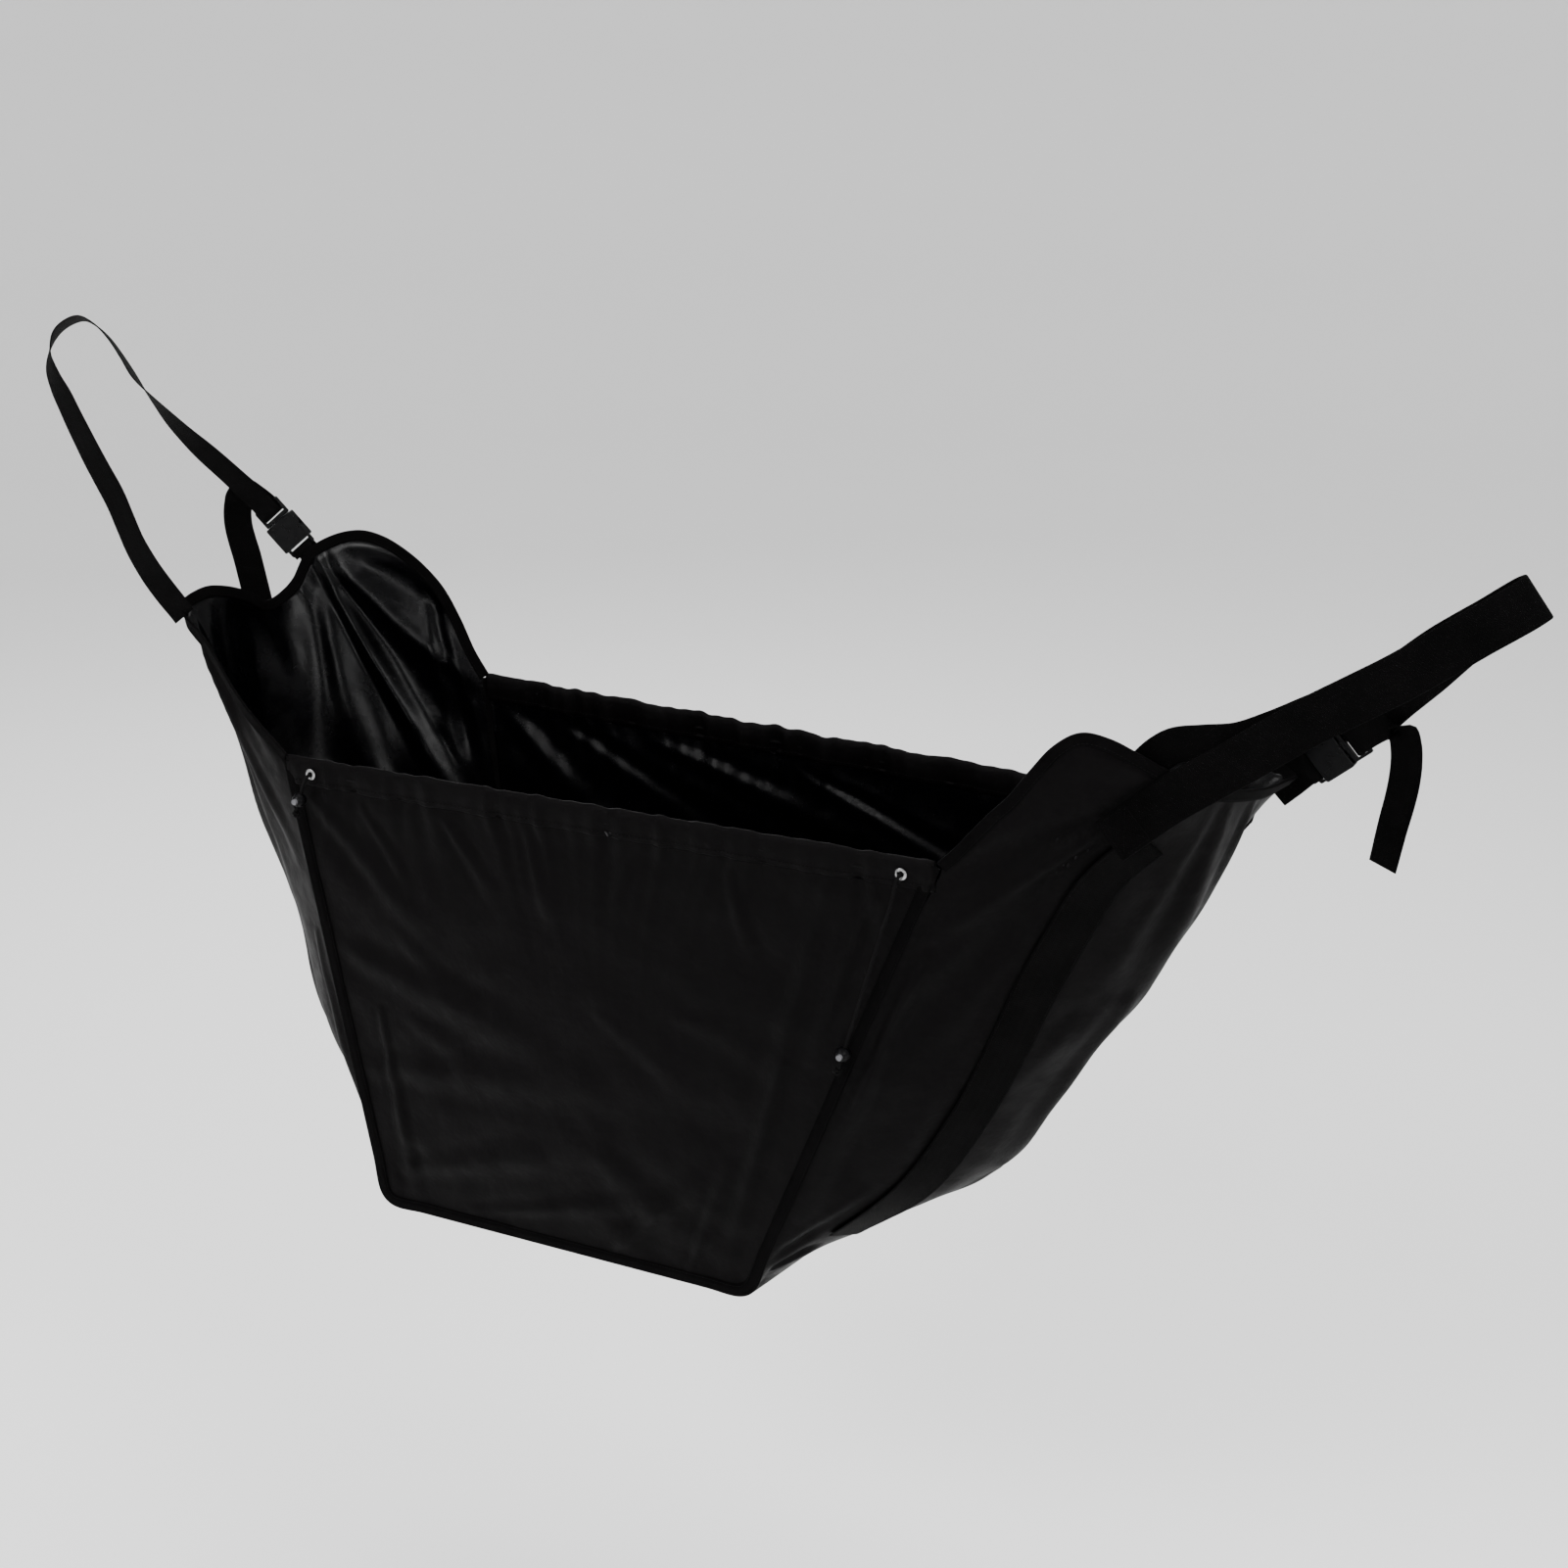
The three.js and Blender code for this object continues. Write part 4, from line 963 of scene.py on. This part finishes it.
@dataclass
class Hem:
    """The folded hem along one rim, with its drawcord tunnel and its rows of stitches."""

    face: str
    gathers: Gathers
    finishes: Finishes
    step: float = 4.0
    outline: tuple[Pair, ...] = (
        (-1.5, 36.5), (-2.3, 34.5), (-2.5, 29.5), (-3.4, 24), (-3.9, 16), (-3.7, 8), (-2.9, 3),
        (-1.5, 0.7), (0, 0), (1.5, 0.7), (2.9, 3), (3.7, 8), (3.9, 16), (3.4, 24), (2.5, 29.5),
        (2.3, 34.5), (1.5, 36.5),
    )

    def spread(self, inset: float, step: float) -> np.ndarray:
        """Evenly spaced x along the rim, inside its ends."""
        left, right = RIMS[self.face]
        return np.arange(left[0] + inset, right[0] - inset, step)

    def surface(self, x: np.ndarray, out: float, below: float) -> np.ndarray:
        """Points of the hem at each x, for a place in its outline."""
        sign = face_sign(self.face)
        share, rim = along_rim(self.face, x)
        belly = 2.0 * np.sin(math.pi * np.clip(share, 0, 1))
        down = below / HEM_HEIGHT
        lean = down * (belly - 1.9)
        wave = self.gathers(x) * rim_ends(share)
        y = sign * (RIM_WIDTH / 2 + out + lean + wave * (0.25 + 0.75 * down))
        dip = 0.55 * wave * (1 - down)
        return np.column_stack([x, y, rim - below + dip])

    def build(self) -> bpy.types.Object:
        """Makes the hem with its two eyelet holes."""
        x = self.spread(2.0, self.step)
        rings = np.stack([self.surface(x, out, below) for out, below in self.outline], axis=1)
        rings = place(rings.reshape(-1, 3)).reshape(rings.shape)
        piece = loft(f"{self.face}_hem_folded", rings, x / 1000, np.arange(len(self.outline)) * 0.004)
        for eyelet in EYELETS[self.face]:
            self.punch(piece, eyelet)
        piece.data.polygons.foreach_set("use_smooth", [True] * len(piece.data.polygons))
        return settle(piece, self.finishes.outside, Slot.CLOTH, f"{self.face}_hem")

    def punch(self, piece: bpy.types.Object, x: float) -> None:
        """Cuts one eyelet's hole into the hem's outer wall."""
        centre = self.surface(np.array([x]), HEM_OUTSIDE, 20)[0]
        centre[1] = face_sign(self.face) * (RIM_WIDTH / 2 + HEM_OUTSIDE)
        only(piece)
        bpy.ops.mesh.primitive_cylinder_add(
            vertices=20, radius=0.0041, depth=0.009, location=place(centre), rotation=(math.pi / 2, 0, 0),
        )
        cutter = bpy.context.object
        modifier = piece.modifiers.new("eyelet", "BOOLEAN")
        modifier.object = cutter
        modifier.operation = "DIFFERENCE"
        only(piece)
        bpy.ops.object.modifier_apply(modifier=modifier.name)
        bpy.data.objects.remove(cutter)

    def stitch(self) -> bpy.types.Object:
        """Sews the hem down along its lower edge, on both sides."""
        sign = face_sign(self.face)
        row = Stitches(f"{self.face}_hem_stitches", self.finishes.thread)
        x = self.spread(12, 2.0)
        for side in (1, -1):
            line = place(self.surface(x, side * 2.7, 30))
            row.along(line, np.broadcast_to(np.array([0.0, sign * side, 0.0]), line.shape))
        return row.build()


# ---- Cords, knots and their fittings ----


def tube(name: str, points: np.ndarray, diameter: float, sides: int = 12) -> bpy.types.Object:
    """A round cord along a line, with a UV map in metres."""
    along = unit(np.gradient(points, axis=0))
    side = unit(np.cross(along[0], np.array([0.31, 0.93, 0.2])))
    angles = np.arange(sides) * 2 * math.pi / sides
    rings = []
    for point, direction in zip(points, along):
        side = unit(side - (side @ direction) * direction)
        other = np.cross(direction, side)
        ring = np.outer(np.cos(angles), side) + np.outer(np.sin(angles), other)
        rings.append(point + ring * diameter / 2)
    around = np.arange(sides) * math.pi * diameter / sides
    return loft(name, np.array(rings), lengths_along(points), around)


@dataclass
class CordEnd:
    """A free end of a drawcord, with its ball lock and its knot."""

    name: str
    eyelet: Pair
    route: Sequence[Triple]
    finishes: Finishes
    knot_size: float = 0.009

    def points(self) -> np.ndarray:
        """The cord's route in metres."""
        x, z = self.eyelet
        sign = face_sign(self.name.split("_")[0])
        marks = [(x + a, sign * (RIM_WIDTH / 2 + out), z + up) for a, out, up in self.route]
        return place(marks)

    def build(self, nodes: dict[str, bpy.types.Object]) -> None:
        marks = self.points()
        path = spline(marks, 0.003)
        cord = tube(f"{self.name}_cord", path, CORD)
        settle(cord, self.finishes.cord, Slot.CORD, f"{self.name}_cord_end")
        knot = self.tie(path)

    def tie(self, path: np.ndarray) -> bpy.types.Object:
        """Ties the overhand knot below the cord's end."""
        down = unit(path[-1] - path[-2])
        side = unit(np.cross(down, np.array([0.2, 1.0, 0.1])))
        other = np.cross(down, side)
        turn = np.linspace(0, 2 * math.pi, 60)[:-1]
        radial = 0.0022 + 0.0013 * np.cos(3 * turn)
        local = np.column_stack([
            radial * np.cos(2 * turn), radial * np.sin(2 * turn), 0.0018 * np.sin(3 * turn),
        ])
        centre = path[-1] + down * (self.knot_size / 2)
        loop = centre + local[:, :1] * side + local[:, 1:2] * other + local[:, 2:] * down * 1.3
        knot = tube(f"{self.name}_tied_knot", np.vstack([loop, loop[:2]]), CORD * 0.85, 10)
        return settle(knot, self.finishes.cord, Slot.CORD, f"{self.name}_knot")


@dataclass
class Drawcord:
    """The length of drawcord inside one hem."""

    face: str
    start: Triple
    end: Triple
    finishes: Finishes

    def build(self) -> bpy.types.Object:
        """Makes the cord in its tunnel."""
        marks = np.linspace(place(self.start), place(self.end), 24)
        cord = tube(f"{self.face}_tunnel_cord", marks, CORD)
        return settle(cord, self.finishes.cord, Slot.CORD, f"{self.face}_drawcord")


@dataclass
class Fittings:
    """The moulded and metal pieces, which keep their CAD shapes."""

    finishes: Finishes

    def dress(self, nodes: dict[str, bpy.types.Object]) -> None:
        """Gives each fitting its finish."""
        by_ending = {
            "_eyelet": self.finishes.steel,
            "_lock_spring": self.finishes.steel,
            "_lock_plunger": self.finishes.button,
            "_lock_ball": self.finishes.plastic,
            "_buckle_socket": self.finishes.plastic,
            "_buckle_plug": self.finishes.plastic,
            "_latch": self.finishes.plastic,
        }
        for name, node in nodes.items():
            for ending, finish in by_ending.items():
                if name.endswith(ending):
                    node.data.materials.clear()
                    node.data.materials.append(finish)
                    LOG.info("%s dressed as %s", name, finish.name)


# ---- The studio ----


@dataclass
class Studio:
    """A pale seamless backdrop, soft lights and the camera."""

    finishes: Finishes
    eye: Triple = (2.0544, -2.1842, 0.3388)
    azimuth: float = 25.6
    elevation: float = 18.8
    lens: float = 49.87
    floor: float = -1.75

    def aim(self) -> None:
        """Makes the camera."""
        data = bpy.data.cameras.new("camera")
        data.lens = self.lens
        data.sensor_width = 36
        camera = in_scene("camera", data)
        a, e = math.radians(self.azimuth), math.radians(self.elevation)
        forward = Vector((-math.sin(a) * math.cos(e), math.cos(a) * math.cos(e), -math.sin(e)))
        camera.location = self.eye
        camera.rotation_euler = forward.to_track_quat("-Z", "Y").to_euler()
        bpy.context.scene.camera = camera

    def backdrop(self) -> None:
        """Makes the floor, which sweeps up behind the trough on every side."""
        rings, sides = [], 64
        profile = [(0.02, 0), (4, 0), (7, 0), (9, 0.15), (10.6, 0.8), (11.6, 2), (12, 4), (12, 9)]
        for radius, height in profile:
            angles = np.arange(sides) * 2 * math.pi / sides
            rings.append(np.column_stack([
                0.9 + radius * np.cos(angles), radius * np.sin(angles), np.full(sides, self.floor + height),
            ]))
        points = np.vstack(rings)
        faces = band_faces(len(profile), sides)
        faces.append(tuple(reversed(range(sides))))
        sweep = new_piece("studio_sweep", points, faces)
        sweep.data.materials.append(self.finishes.paper)

    def light(self, name: str, spot: Triple, target: Triple, size: float, power: float) -> None:
        """Adds one soft square light that faces a target."""
        data = bpy.data.lights.new(name, "AREA")
        data.shape = "RECTANGLE"
        data.size = size
        data.size_y = size * 0.7
        data.energy = power
        lamp = in_scene(name, data)
        lamp.location = spot
        lamp.rotation_euler = (Vector(target) - Vector(spot)).to_track_quat("-Z", "Y").to_euler()

    def lights(self) -> None:
        """Adds the key, fill, top and rear lights and the pale surroundings."""
        middle = (0.85, 0.0, -0.6)
        self.light("key", (-0.6, -3.4, 2.0), middle, 1.8, 150)
        self.light("front", (1.2, -4.2, 0.6), middle, 1.2, 45)
        self.light("fill", (4.2, -1.2, 1.4), middle, 2.0, 90)
        self.light("top", (0.8, 0.2, 3.4), middle, 2.6, 120)
        self.light("rear", (-1.6, 3.2, 2.2), middle, 1.6, 90)
        world = bpy.data.worlds.new("surroundings")
        world.use_nodes = True
        world.node_tree.nodes["Background"].inputs[0].default_value = (1, 1, 1, 1)
        world.node_tree.nodes["Background"].inputs[1].default_value = 0.95
        bpy.context.scene.world = world


# ---- The trough ----


def scattered(
    seed: int, count: int, low: Triple, high: Triple, lean: Triple, width: Pair,
    height: Pair,
) -> list[Fold]:
    """Small folds scattered in a box of places, leaning one way.

    Args:
        seed: Fixes where they fall.
        count: How many there are.
        low: The box's lowest corner.
        high: Its highest corner.
        lean: The direction that they mostly follow, as long as the longest ones.
        width: The least and greatest width.
        height: The least and greatest height; every third one is a hollow.

    Returns:
        The folds.
    """
    rng = np.random.default_rng(seed)
    folds = []
    for number in range(count):
        start = rng.uniform(low, high)
        reach = np.array(lean) * rng.uniform(0.35, 1.0) + rng.normal(size=3) * np.linalg.norm(lean) * 0.16
        sign = -1 if number % 3 == 2 else 1
        folds.append(Fold(
            tuple(start), tuple(start + reach), rng.uniform(*width), sign * rng.uniform(*height),
        ))
    return folds


def flat_folds(y: float, rows: Sequence[Sequence[float]]) -> list[Fold]:
    """Folds on a front or back face, from each one's start and end in x and z, width and height."""
    return [Fold((x0, y, z0), (x1, y, z1), width, height) for x0, z0, x1, z1, width, height in rows]


@dataclass
class Trough:
    """The whole hanging trough."""

    nodes: dict[str, bpy.types.Object]
    finishes: Finishes
    strips: dict[str, Strip] = field(default_factory=dict)
    sheets: dict[str, bpy.types.Object] = field(default_factory=dict)
    gathers: dict[str, Gathers] = field(default_factory=dict)

    def cords(self) -> None:
        """Makes the four free cord ends and the two lengths in the hems."""
        routes = {
            "front_left": [
                (0, 1.6, 0), (0, 6, 0), (-0.4, 10.5, -1.5), (-1.6, 13.4, -5.5), (-3.8, 15, -11.5),
                (-7.4, 15.4, -22), (-15.5, 16.2, -45.2),
            ],
            "front_right": [
                (0, 1.6, 0), (0, 6, 0), (-0.2, 10.5, -1.5), (-1.4, 13.2, -6), (-3, 13.6, -13),
                (-5.4, 13, -25), (-22.8, 9.8, -82.3), (-40.2, 6.5, -139.7), (-57.5, 3.3, -197),
                (-72.6, 0.5, -246.7),
            ],
            "back_left": [
                (0, 1.6, 0), (0, 6, 0), (0.2, 10.5, -1.5), (0.6, 13.4, -6), (0.8, 14.4, -13),
                (1, 14.6, -25), (1, 14.6, -55), (1, 14.6, -92),
            ],
            "back_right": [
                (0, 1.6, 0), (0, 6, 0), (-0.2, 10.5, -1.5), (-0.6, 13.4, -6), (-0.8, 14.4, -13),
                (-1, 14.6, -25), (-1, 14.6, -70), (-1, 14.6, -115), (-1, 14.6, -162),
            ],
        }
        for name, route in routes.items():
            low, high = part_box(f"{name}_eyelet")
            middle = np.array((low + high) / 2) * 1000 + HANG_POINT
            CordEnd(name, (middle[0], middle[2]), route, self.finishes).build(self.nodes)
        for face in ("front", "back"):
            low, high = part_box(f"{face}_drawcord")
            left = np.array((low.x, (low.y + high.y) / 2, high.z - CORD / 2)) * 1000 + HANG_POINT
            right = np.array((high.x, (low.y + high.y) / 2, low.z + CORD / 2)) * 1000 + HANG_POINT
            Drawcord(face, tuple(left), tuple(right), self.finishes).build()

    def hems(self) -> dict[str, list[bpy.types.Object]]:
        """Makes the two hems with their stitches."""
        made = {}
        for face, seed in (("front", 5), ("back", 11)):
            self.gathers[face] = Gathers(seed, 1.7, EYELETS[face])
            hem = Hem(face, self.gathers[face], self.finishes)
            made[face] = [hem.build(), hem.stitch()]
        return made

    def face_panel(self, face: str, folds: list[Fold], seed: int) -> None:
        """Makes the front or back panel, gathered below its hem."""

        def puckers(places: np.ndarray) -> np.ndarray:
            """The hem's gathers running down into the panel, in metres."""
            spots = places * 1000 + HANG_POINT
            share, rim = along_rim(face, spots[:, 0])
            below = np.maximum(rim - spots[:, 2] - HEM_BOTTOM, 0)
            drift = 0.3 * below * np.sin(spots[:, 0] / 90)
            wave = self.gathers[face](spots[:, 0] + drift)
            return wave * np.exp(-below / 60) * rim_ends(share) / 1000

        panel = ClothPanel(
            f"{face}_panel", straight_out(0, face_sign(face), 0), folds,
            Rumple(seed, 0.0032, 0.05, 0.26, (0.2, 0, 1)), self.finishes, 4, 0.03, puckers,
        )
        self.sheets[face] = panel.build(self.nodes)

    def cloth(self) -> None:
        """Makes every panel of the shell with its own folds."""
        hems = self.hems()
        front = [
            (-395, -55, -250, -200, 17, 4.0),
            (-330, -40, -262, -150, 9, 2.6),
            (-212, -38, -140, -135, 9, 2.8),
            (-90, -38, -58, -160, 10, 2.4),
            (60, -40, 22, -130, 9, 2.2),
            (172, -40, 205, -160, 10, 2.4),
            (300, -42, 190, -440, 15, 4.2),
            (352, -50, 272, -270, 9, 3.2),
            (-385, -250, -60, -335, 26, 4.6),
            (-350, -420, 80, -350, 28, 4.4),
            (-310, -560, -50, -470, 20, 4.4),
            (-210, -600, 70, -515, 14, 3.4),
            (-10, -608, 120, -470, 12, 3.8),
            (100, -606, 165, -440, 9, 3.2),
            (-325, -330, -300, -600, 10, 3.2),
            (240, -280, 150, -590, 11, 3.8),
        ]
        low, high = (-340, -150, -560), (240, -150, -120)
        front = flat_folds(-150, front) + scattered(3, 14, low, high, (150, 0, -60), (13, 30), (0.8, 1.9))
        self.face_panel("front", front, 21)
        back = [
            (-330, -10, -120, -210, 20, -5.0),
            (-250, -10, 60, -160, 14, 4.0),
            (-100, -30, 240, -140, 16, -4.2),
            (120, -40, 400, -150, 12, 4.0),
            (-330, -120, -60, -420, 22, 5.0),
            (60, -180, -40, -560, 22, -4.4),
            (330, -120, 190, -520, 18, 4.0),
        ]
        low, high = (-290, 150, -560), (330, 150, -60)
        back = flat_folds(150, back) + scattered(8, 16, low, high, (170, 0, -70), (12, 26), (1.0, 2.6))
        self.face_panel("back", back, 22)
        self.end_panel("left", self.left_folds(), 23)
        self.end_panel("right", self.right_folds(), 24)
        floor = ClothPanel(
            "floor_panel", straight_out(0, 0, -1),
            scattered(9, 14, (-310, -100, -615), (120, 100, -615), (120, 40, 0), (9, 18), (0.8, 2.0)),
            Rumple(25, 0.0025, 0.06, 0.24, (1, 0, 0)), self.finishes, 4, 0.03,
        )
        self.sheets["floor"] = floor.build(self.nodes)

    def left_folds(self) -> list[Fold]:
        """Folds that run down from the left end's two strap points and across its back ear."""
        tip = (-590, 122, 178)
        folds = [
            Fold(tip, (-395, 160, 40), 22, -7.0),
            Fold(tip, (-440, 152, 150), 15, 4.5),
            Fold(tip, (-388, 158, -60), 20, 6.5),
            Fold(tip, (-372, 160, -190), 14, -8.5),
            Fold(tip, (-420, 145, -260), 26, 4.0),
            Fold(tip, (-480, 110, -200), 24, -3.0),
            Fold(tip, (-560, 70, -80), 18, 3.5),
            Fold((-520, 142, 160), (-360, 163, 90), 10, 5.0),
            Fold((-500, 145, 100), (-362, 163, 10), 9, -4.5),
            Fold((-430, 155, 130), (-365, 160, -130), 12, 4.5),
            Fold((-600, 40, 110), (-560, 30, -200), 26, -4.0),
            Fold((-600, 0, 130), (-575, -10, -180), 20, 3.0),
            Fold((-603, -45, 140), (-570, -60, -160), 24, -4.0),
            Fold((-612, -115, 150), (-470, -158, -20), 14, -6.0),
            Fold((-612, -115, 150), (-455, -155, -150), 12, 5.0),
            Fold((-612, -115, 150), (-520, -110, -200), 14, -5.5),
            Fold((-560, -60, -190), (-440, -60, -470), 18, 5.5),
            Fold((-550, 10, -200), (-400, 20, -520), 16, -5.5),
            Fold((-520, 70, -220), (-370, 90, -500), 16, 5.5),
            Fold((-430, -140, -250), (-360, -120, -590), 14, 4.5),
        ]
        low, high = (-570, -120, -520), (-420, 130, 60)
        return folds + scattered(13, 12, low, high, (40, 30, -130), (16, 30), (1.0, 2.2))

    def right_folds(self) -> list[Fold]:
        """Folds that run down from the right end's handle and strap points."""
        lap, tip = (640, -125, 80), (735, 125, 50)
        folds = [
            Fold(lap, (430, -160, -20), 15, -5.5),
            Fold(lap, (400, -158, -110), 12, 5.0),
            Fold(lap, (350, -150, -260), 18, -6.0),
            Fold(lap, (470, -140, -250), 12, 5.0),
            Fold((500, -150, 140), (440, -160, 20), 10, 4.5),
            Fold((430, -162, -10), (300, -145, -330), 12, -5.5),
            Fold((415, -160, -120), (240, -135, -520), 14, 5.5),
            Fold((230, -128, -595), (330, -60, -520), 10, 5.5),
            Fold((210, -130, -560), (420, -90, -400), 12, -5.0),
            Fold((690, -30, 70), (600, -30, -160), 16, -6.0),
            Fold((700, 30, 60), (620, 30, -150), 12, 5.5),
            Fold(tip, (660, 60, -100), 12, -5.5),
            Fold(tip, (600, 140, -150), 12, 5.5),
            Fold(tip, (560, 150, 0), 12, -5.5),
            Fold((600, -20, -180), (470, -10, -430), 18, 5.5),
            Fold((560, 60, -240), (420, 60, -470), 14, -5.0),
            Fold((450, 0, -440), (300, 10, -570), 14, 4.5),
        ]
        low, high = (240, -150, -560), (640, 130, 40)
        return folds + scattered(17, 30, low, high, (-60, 20, -120), (10, 24), (1.0, 2.8))

    def end_panel(self, end: str, folds: list[Fold], seed: int) -> None:
        """Makes one bowed end of the shell."""
        bands = () if end == "left" else tuple(
            self.band_track(face).resampled(0.01).points for face in ("front", "back")
        )
        panel = ClothPanel(
            f"{end}_end_panel", away_from_middle, folds,
            Rumple(seed, 0.0036, 0.07, 0.26, (0.2, 0.6, 0.2)), self.finishes, 3, 0.02,
            sewn=bands, tape_line=self.lip_track(end).resampled(0.003).points,
        )
        self.sheets[end] = panel.build(self.nodes)

    def seam_track(self, face: str) -> Track:
        """The route of the tape round a face's seams: down, along the floor and up again."""
        sign = face_sign(face)
        (left, right), (low_left, low_right) = RIMS[face], FLOORS[face]
        corners = [np.array(c, float) for c in (left, low_left, low_right, right)]
        corners[0] = corners[0] + (corners[1] - corners[0]) * 0.010
        corners[3] = corners[3] + (corners[2] - corners[3]) * 0.010
        marks = []
        for first, last in zip(corners, corners[1:]):
            trim = 12 / np.linalg.norm(last - first)
            begin = 0 if first is corners[0] else trim
            end = 1 if last is corners[3] else 1 - trim
            shares = np.linspace(begin, end, 12)
            marks.extend(first + (last - first) * share for share in shares)
        marks = place(marks)
        out = np.array([0, sign * 0.998, -0.057])
        along = unit(np.gradient(marks, axis=0))
        return Track(marks, np.cross(np.broadcast_to(out, along.shape), along))

    def lip_track(self, end: str) -> Track:
        """The route of the tape over one end's lip, from the front rim to the back one."""
        start = (-445, -163, 8) if end == "left" else (445, -163, 10)
        track = Track.of_node(self.nodes[f"{end}_lip_binding"], start, 4)
        if track.across[:, 2].mean() > 0:
            track = Track(track.points, -track.across)
        column = 0 if end == "left" else 1
        first, last = (np.array(RIMS[face][column]) for face in ("front", "back"))
        return track.reaching(tuple(first + (0, 0, -5)), tuple(last + (0, 0, -5)))

    def tapes(self) -> None:
        """Makes the tapes along the seams and lips, with their stitches."""
        for face in ("front", "back"):
            inwards = -0.0060 * face_sign(face)
            track = self.seam_track(face).resampled(0.004).moved(inwards, 0.0026)
            self.tape(f"{face}_seam_binding", track, 0.0195, 0.0022, 0.009, (-0.0075, 0.0050))
        for end in ("left", "right"):
            track = self.lip_track(end).moved(0.0020, 0.0)
            self.tape(f"{end}_lip_binding", track, 0.0148, 0.0036, 0.0, (0.0040,))

    def tape(
        self, name: str, track: Track, width: float, thickness: float, curl: float, rows: Sequence[float],
    ) -> None:
        """Makes one tape with its rows of stitches on both faces."""
        strip = Strip(name, track, width, thickness, self.finishes.tape, Slot.TAPE, curl=curl)
        strip.build()
        stitches = Stitches(f"{name}_stitches", self.finishes.thread, length=0.003, thread=0.0006)
        for side in (1, -1):
            for across in rows:
                line = strip.track.at(across, side * thickness / 2)
                stitches.along(line, strip.track.out * side)
        stitches.build(Slot.TAPE)

    def band_track(self, face: str) -> Track:
        """The route of a band that is sewn down the right end, close to the cloth."""
        start = (632, -75, 25) if face == "front" else (690, 80, 10)
        track = Track.of_node(self.nodes[f"{face}_sling_band"], start, 6).facing(away_from_middle)
        return track.moved(0.0, -0.0032).resampled(0.004).trimmed(0, 0.07)

    def webbing(self) -> None:
        """Makes the sewn bands, the handle loop, the straps and the buckle tabs."""
        starts = {
            "right_handle_loop": (604, -134, 40),
            "left_strap": (-592, -135, 108),
            "right_strap": (596, -112, 60),
            "left_buckle_tab": (-575, 130, 128),
            "right_buckle_tab": (712, 137, 26),
        }
        bands = {f"{face}_sling_band": self.band_track(face) for face in ("front", "back")}
        routes = {name: Track.of_node(self.nodes[name], start, 4) for name, start in starts.items()}
        strap = routes["left_strap"].resampled(0.003)
        routes["left_strap"] = strap.eased((0, 0.014, 0), 0.13).trimmed(0.038, 0).longer(0.028)
        for name, track in (routes | bands).items():
            width = WIDE_WEBBING if name in bands or "handle" in name else NARROW_WEBBING
            ripple = 0.0004 if "loop" in name or "strap" in name else 0.0
            plug = name.replace("strap", "plug") if "strap" in name else None
            self.strips[name] = Strip(
                name, track, width, WEBBING_THICKNESS, self.finishes.webbing, Slot.WEBBING,
                ripple=ripple, pulled_by=plug,
            )
            self.strips[name].build()
        for name in bands:
            self.sew_edges(name)
        for name in starts:
            self.sew_box(name, both_ends=name == "right_handle_loop")

    def sew_edges(self, name: str) -> None:
        """Sews a band down along both its edges."""
        strip = self.strips[name]
        row = Stitches(f"{name}_stitches", self.finishes.thread)
        for side in (1, -1):
            for across in (-1, 1):
                line = strip.track.at(across * (strip.width / 2 - 0.003), side * strip.thickness / 2)
                row.along(line, strip.track.out * side)
        row.build(Slot.WEBBING)

    def sew_box(self, name: str, both_ends: bool) -> None:
        """Sews a box with crossed diagonals at a strip's first end, or at both ends."""
        strip = self.strips[name]
        track = strip.track
        run = lengths_along(track.points)
        row = Stitches(f"{name}_box_stitches", self.finishes.thread)
        reach = min(BOX_LENGTH, run[-1] * 0.3)
        edge = strip.width / 2 - BOX_INSET
        far = run[-1] - BOX_INSET
        laps = [(BOX_INSET, BOX_INSET + reach)] + ([(far, far - reach)] if both_ends else [])
        share = np.linspace(0, 1, 24)
        for first, last in laps:
            corners = [
                (first, -edge), (last, -edge), (last, edge), (first, edge),
                (first, -edge), (last, edge), (last, -edge), (first, edge),
            ]
            for side in (1, -1):
                for (s0, a0), (s1, a1) in zip(corners, corners[1:]):
                    stops, across = s0 + (s1 - s0) * share, a0 + (a1 - a0) * share
                    middle, wide, out = (
                        read_along(stops, run, values) for values in (track.points, track.wide, track.out)
                    )
                    out = unit(out) * side
                    line = middle + unit(wide) * across[:, None] + out * (strip.thickness / 2)
                    row.along(line, out)
        row.build(Slot.WEBBING)


def main() -> None:
    """Builds the studio and the trough."""
    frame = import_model()
    finishes = Finishes.made()
    studio = Studio(finishes)
    studio.aim()
    trough = Trough(frame["nodes"], finishes)
    trough.cords()
    studio.backdrop()
    studio.lights()
    trough.cloth()
    trough.tapes()
    trough.webbing()
    Fittings(finishes).dress(frame["nodes"])


if __name__ == "__main__":
    logging.basicConfig(level=logging.INFO, format="%(message)s")
    main()
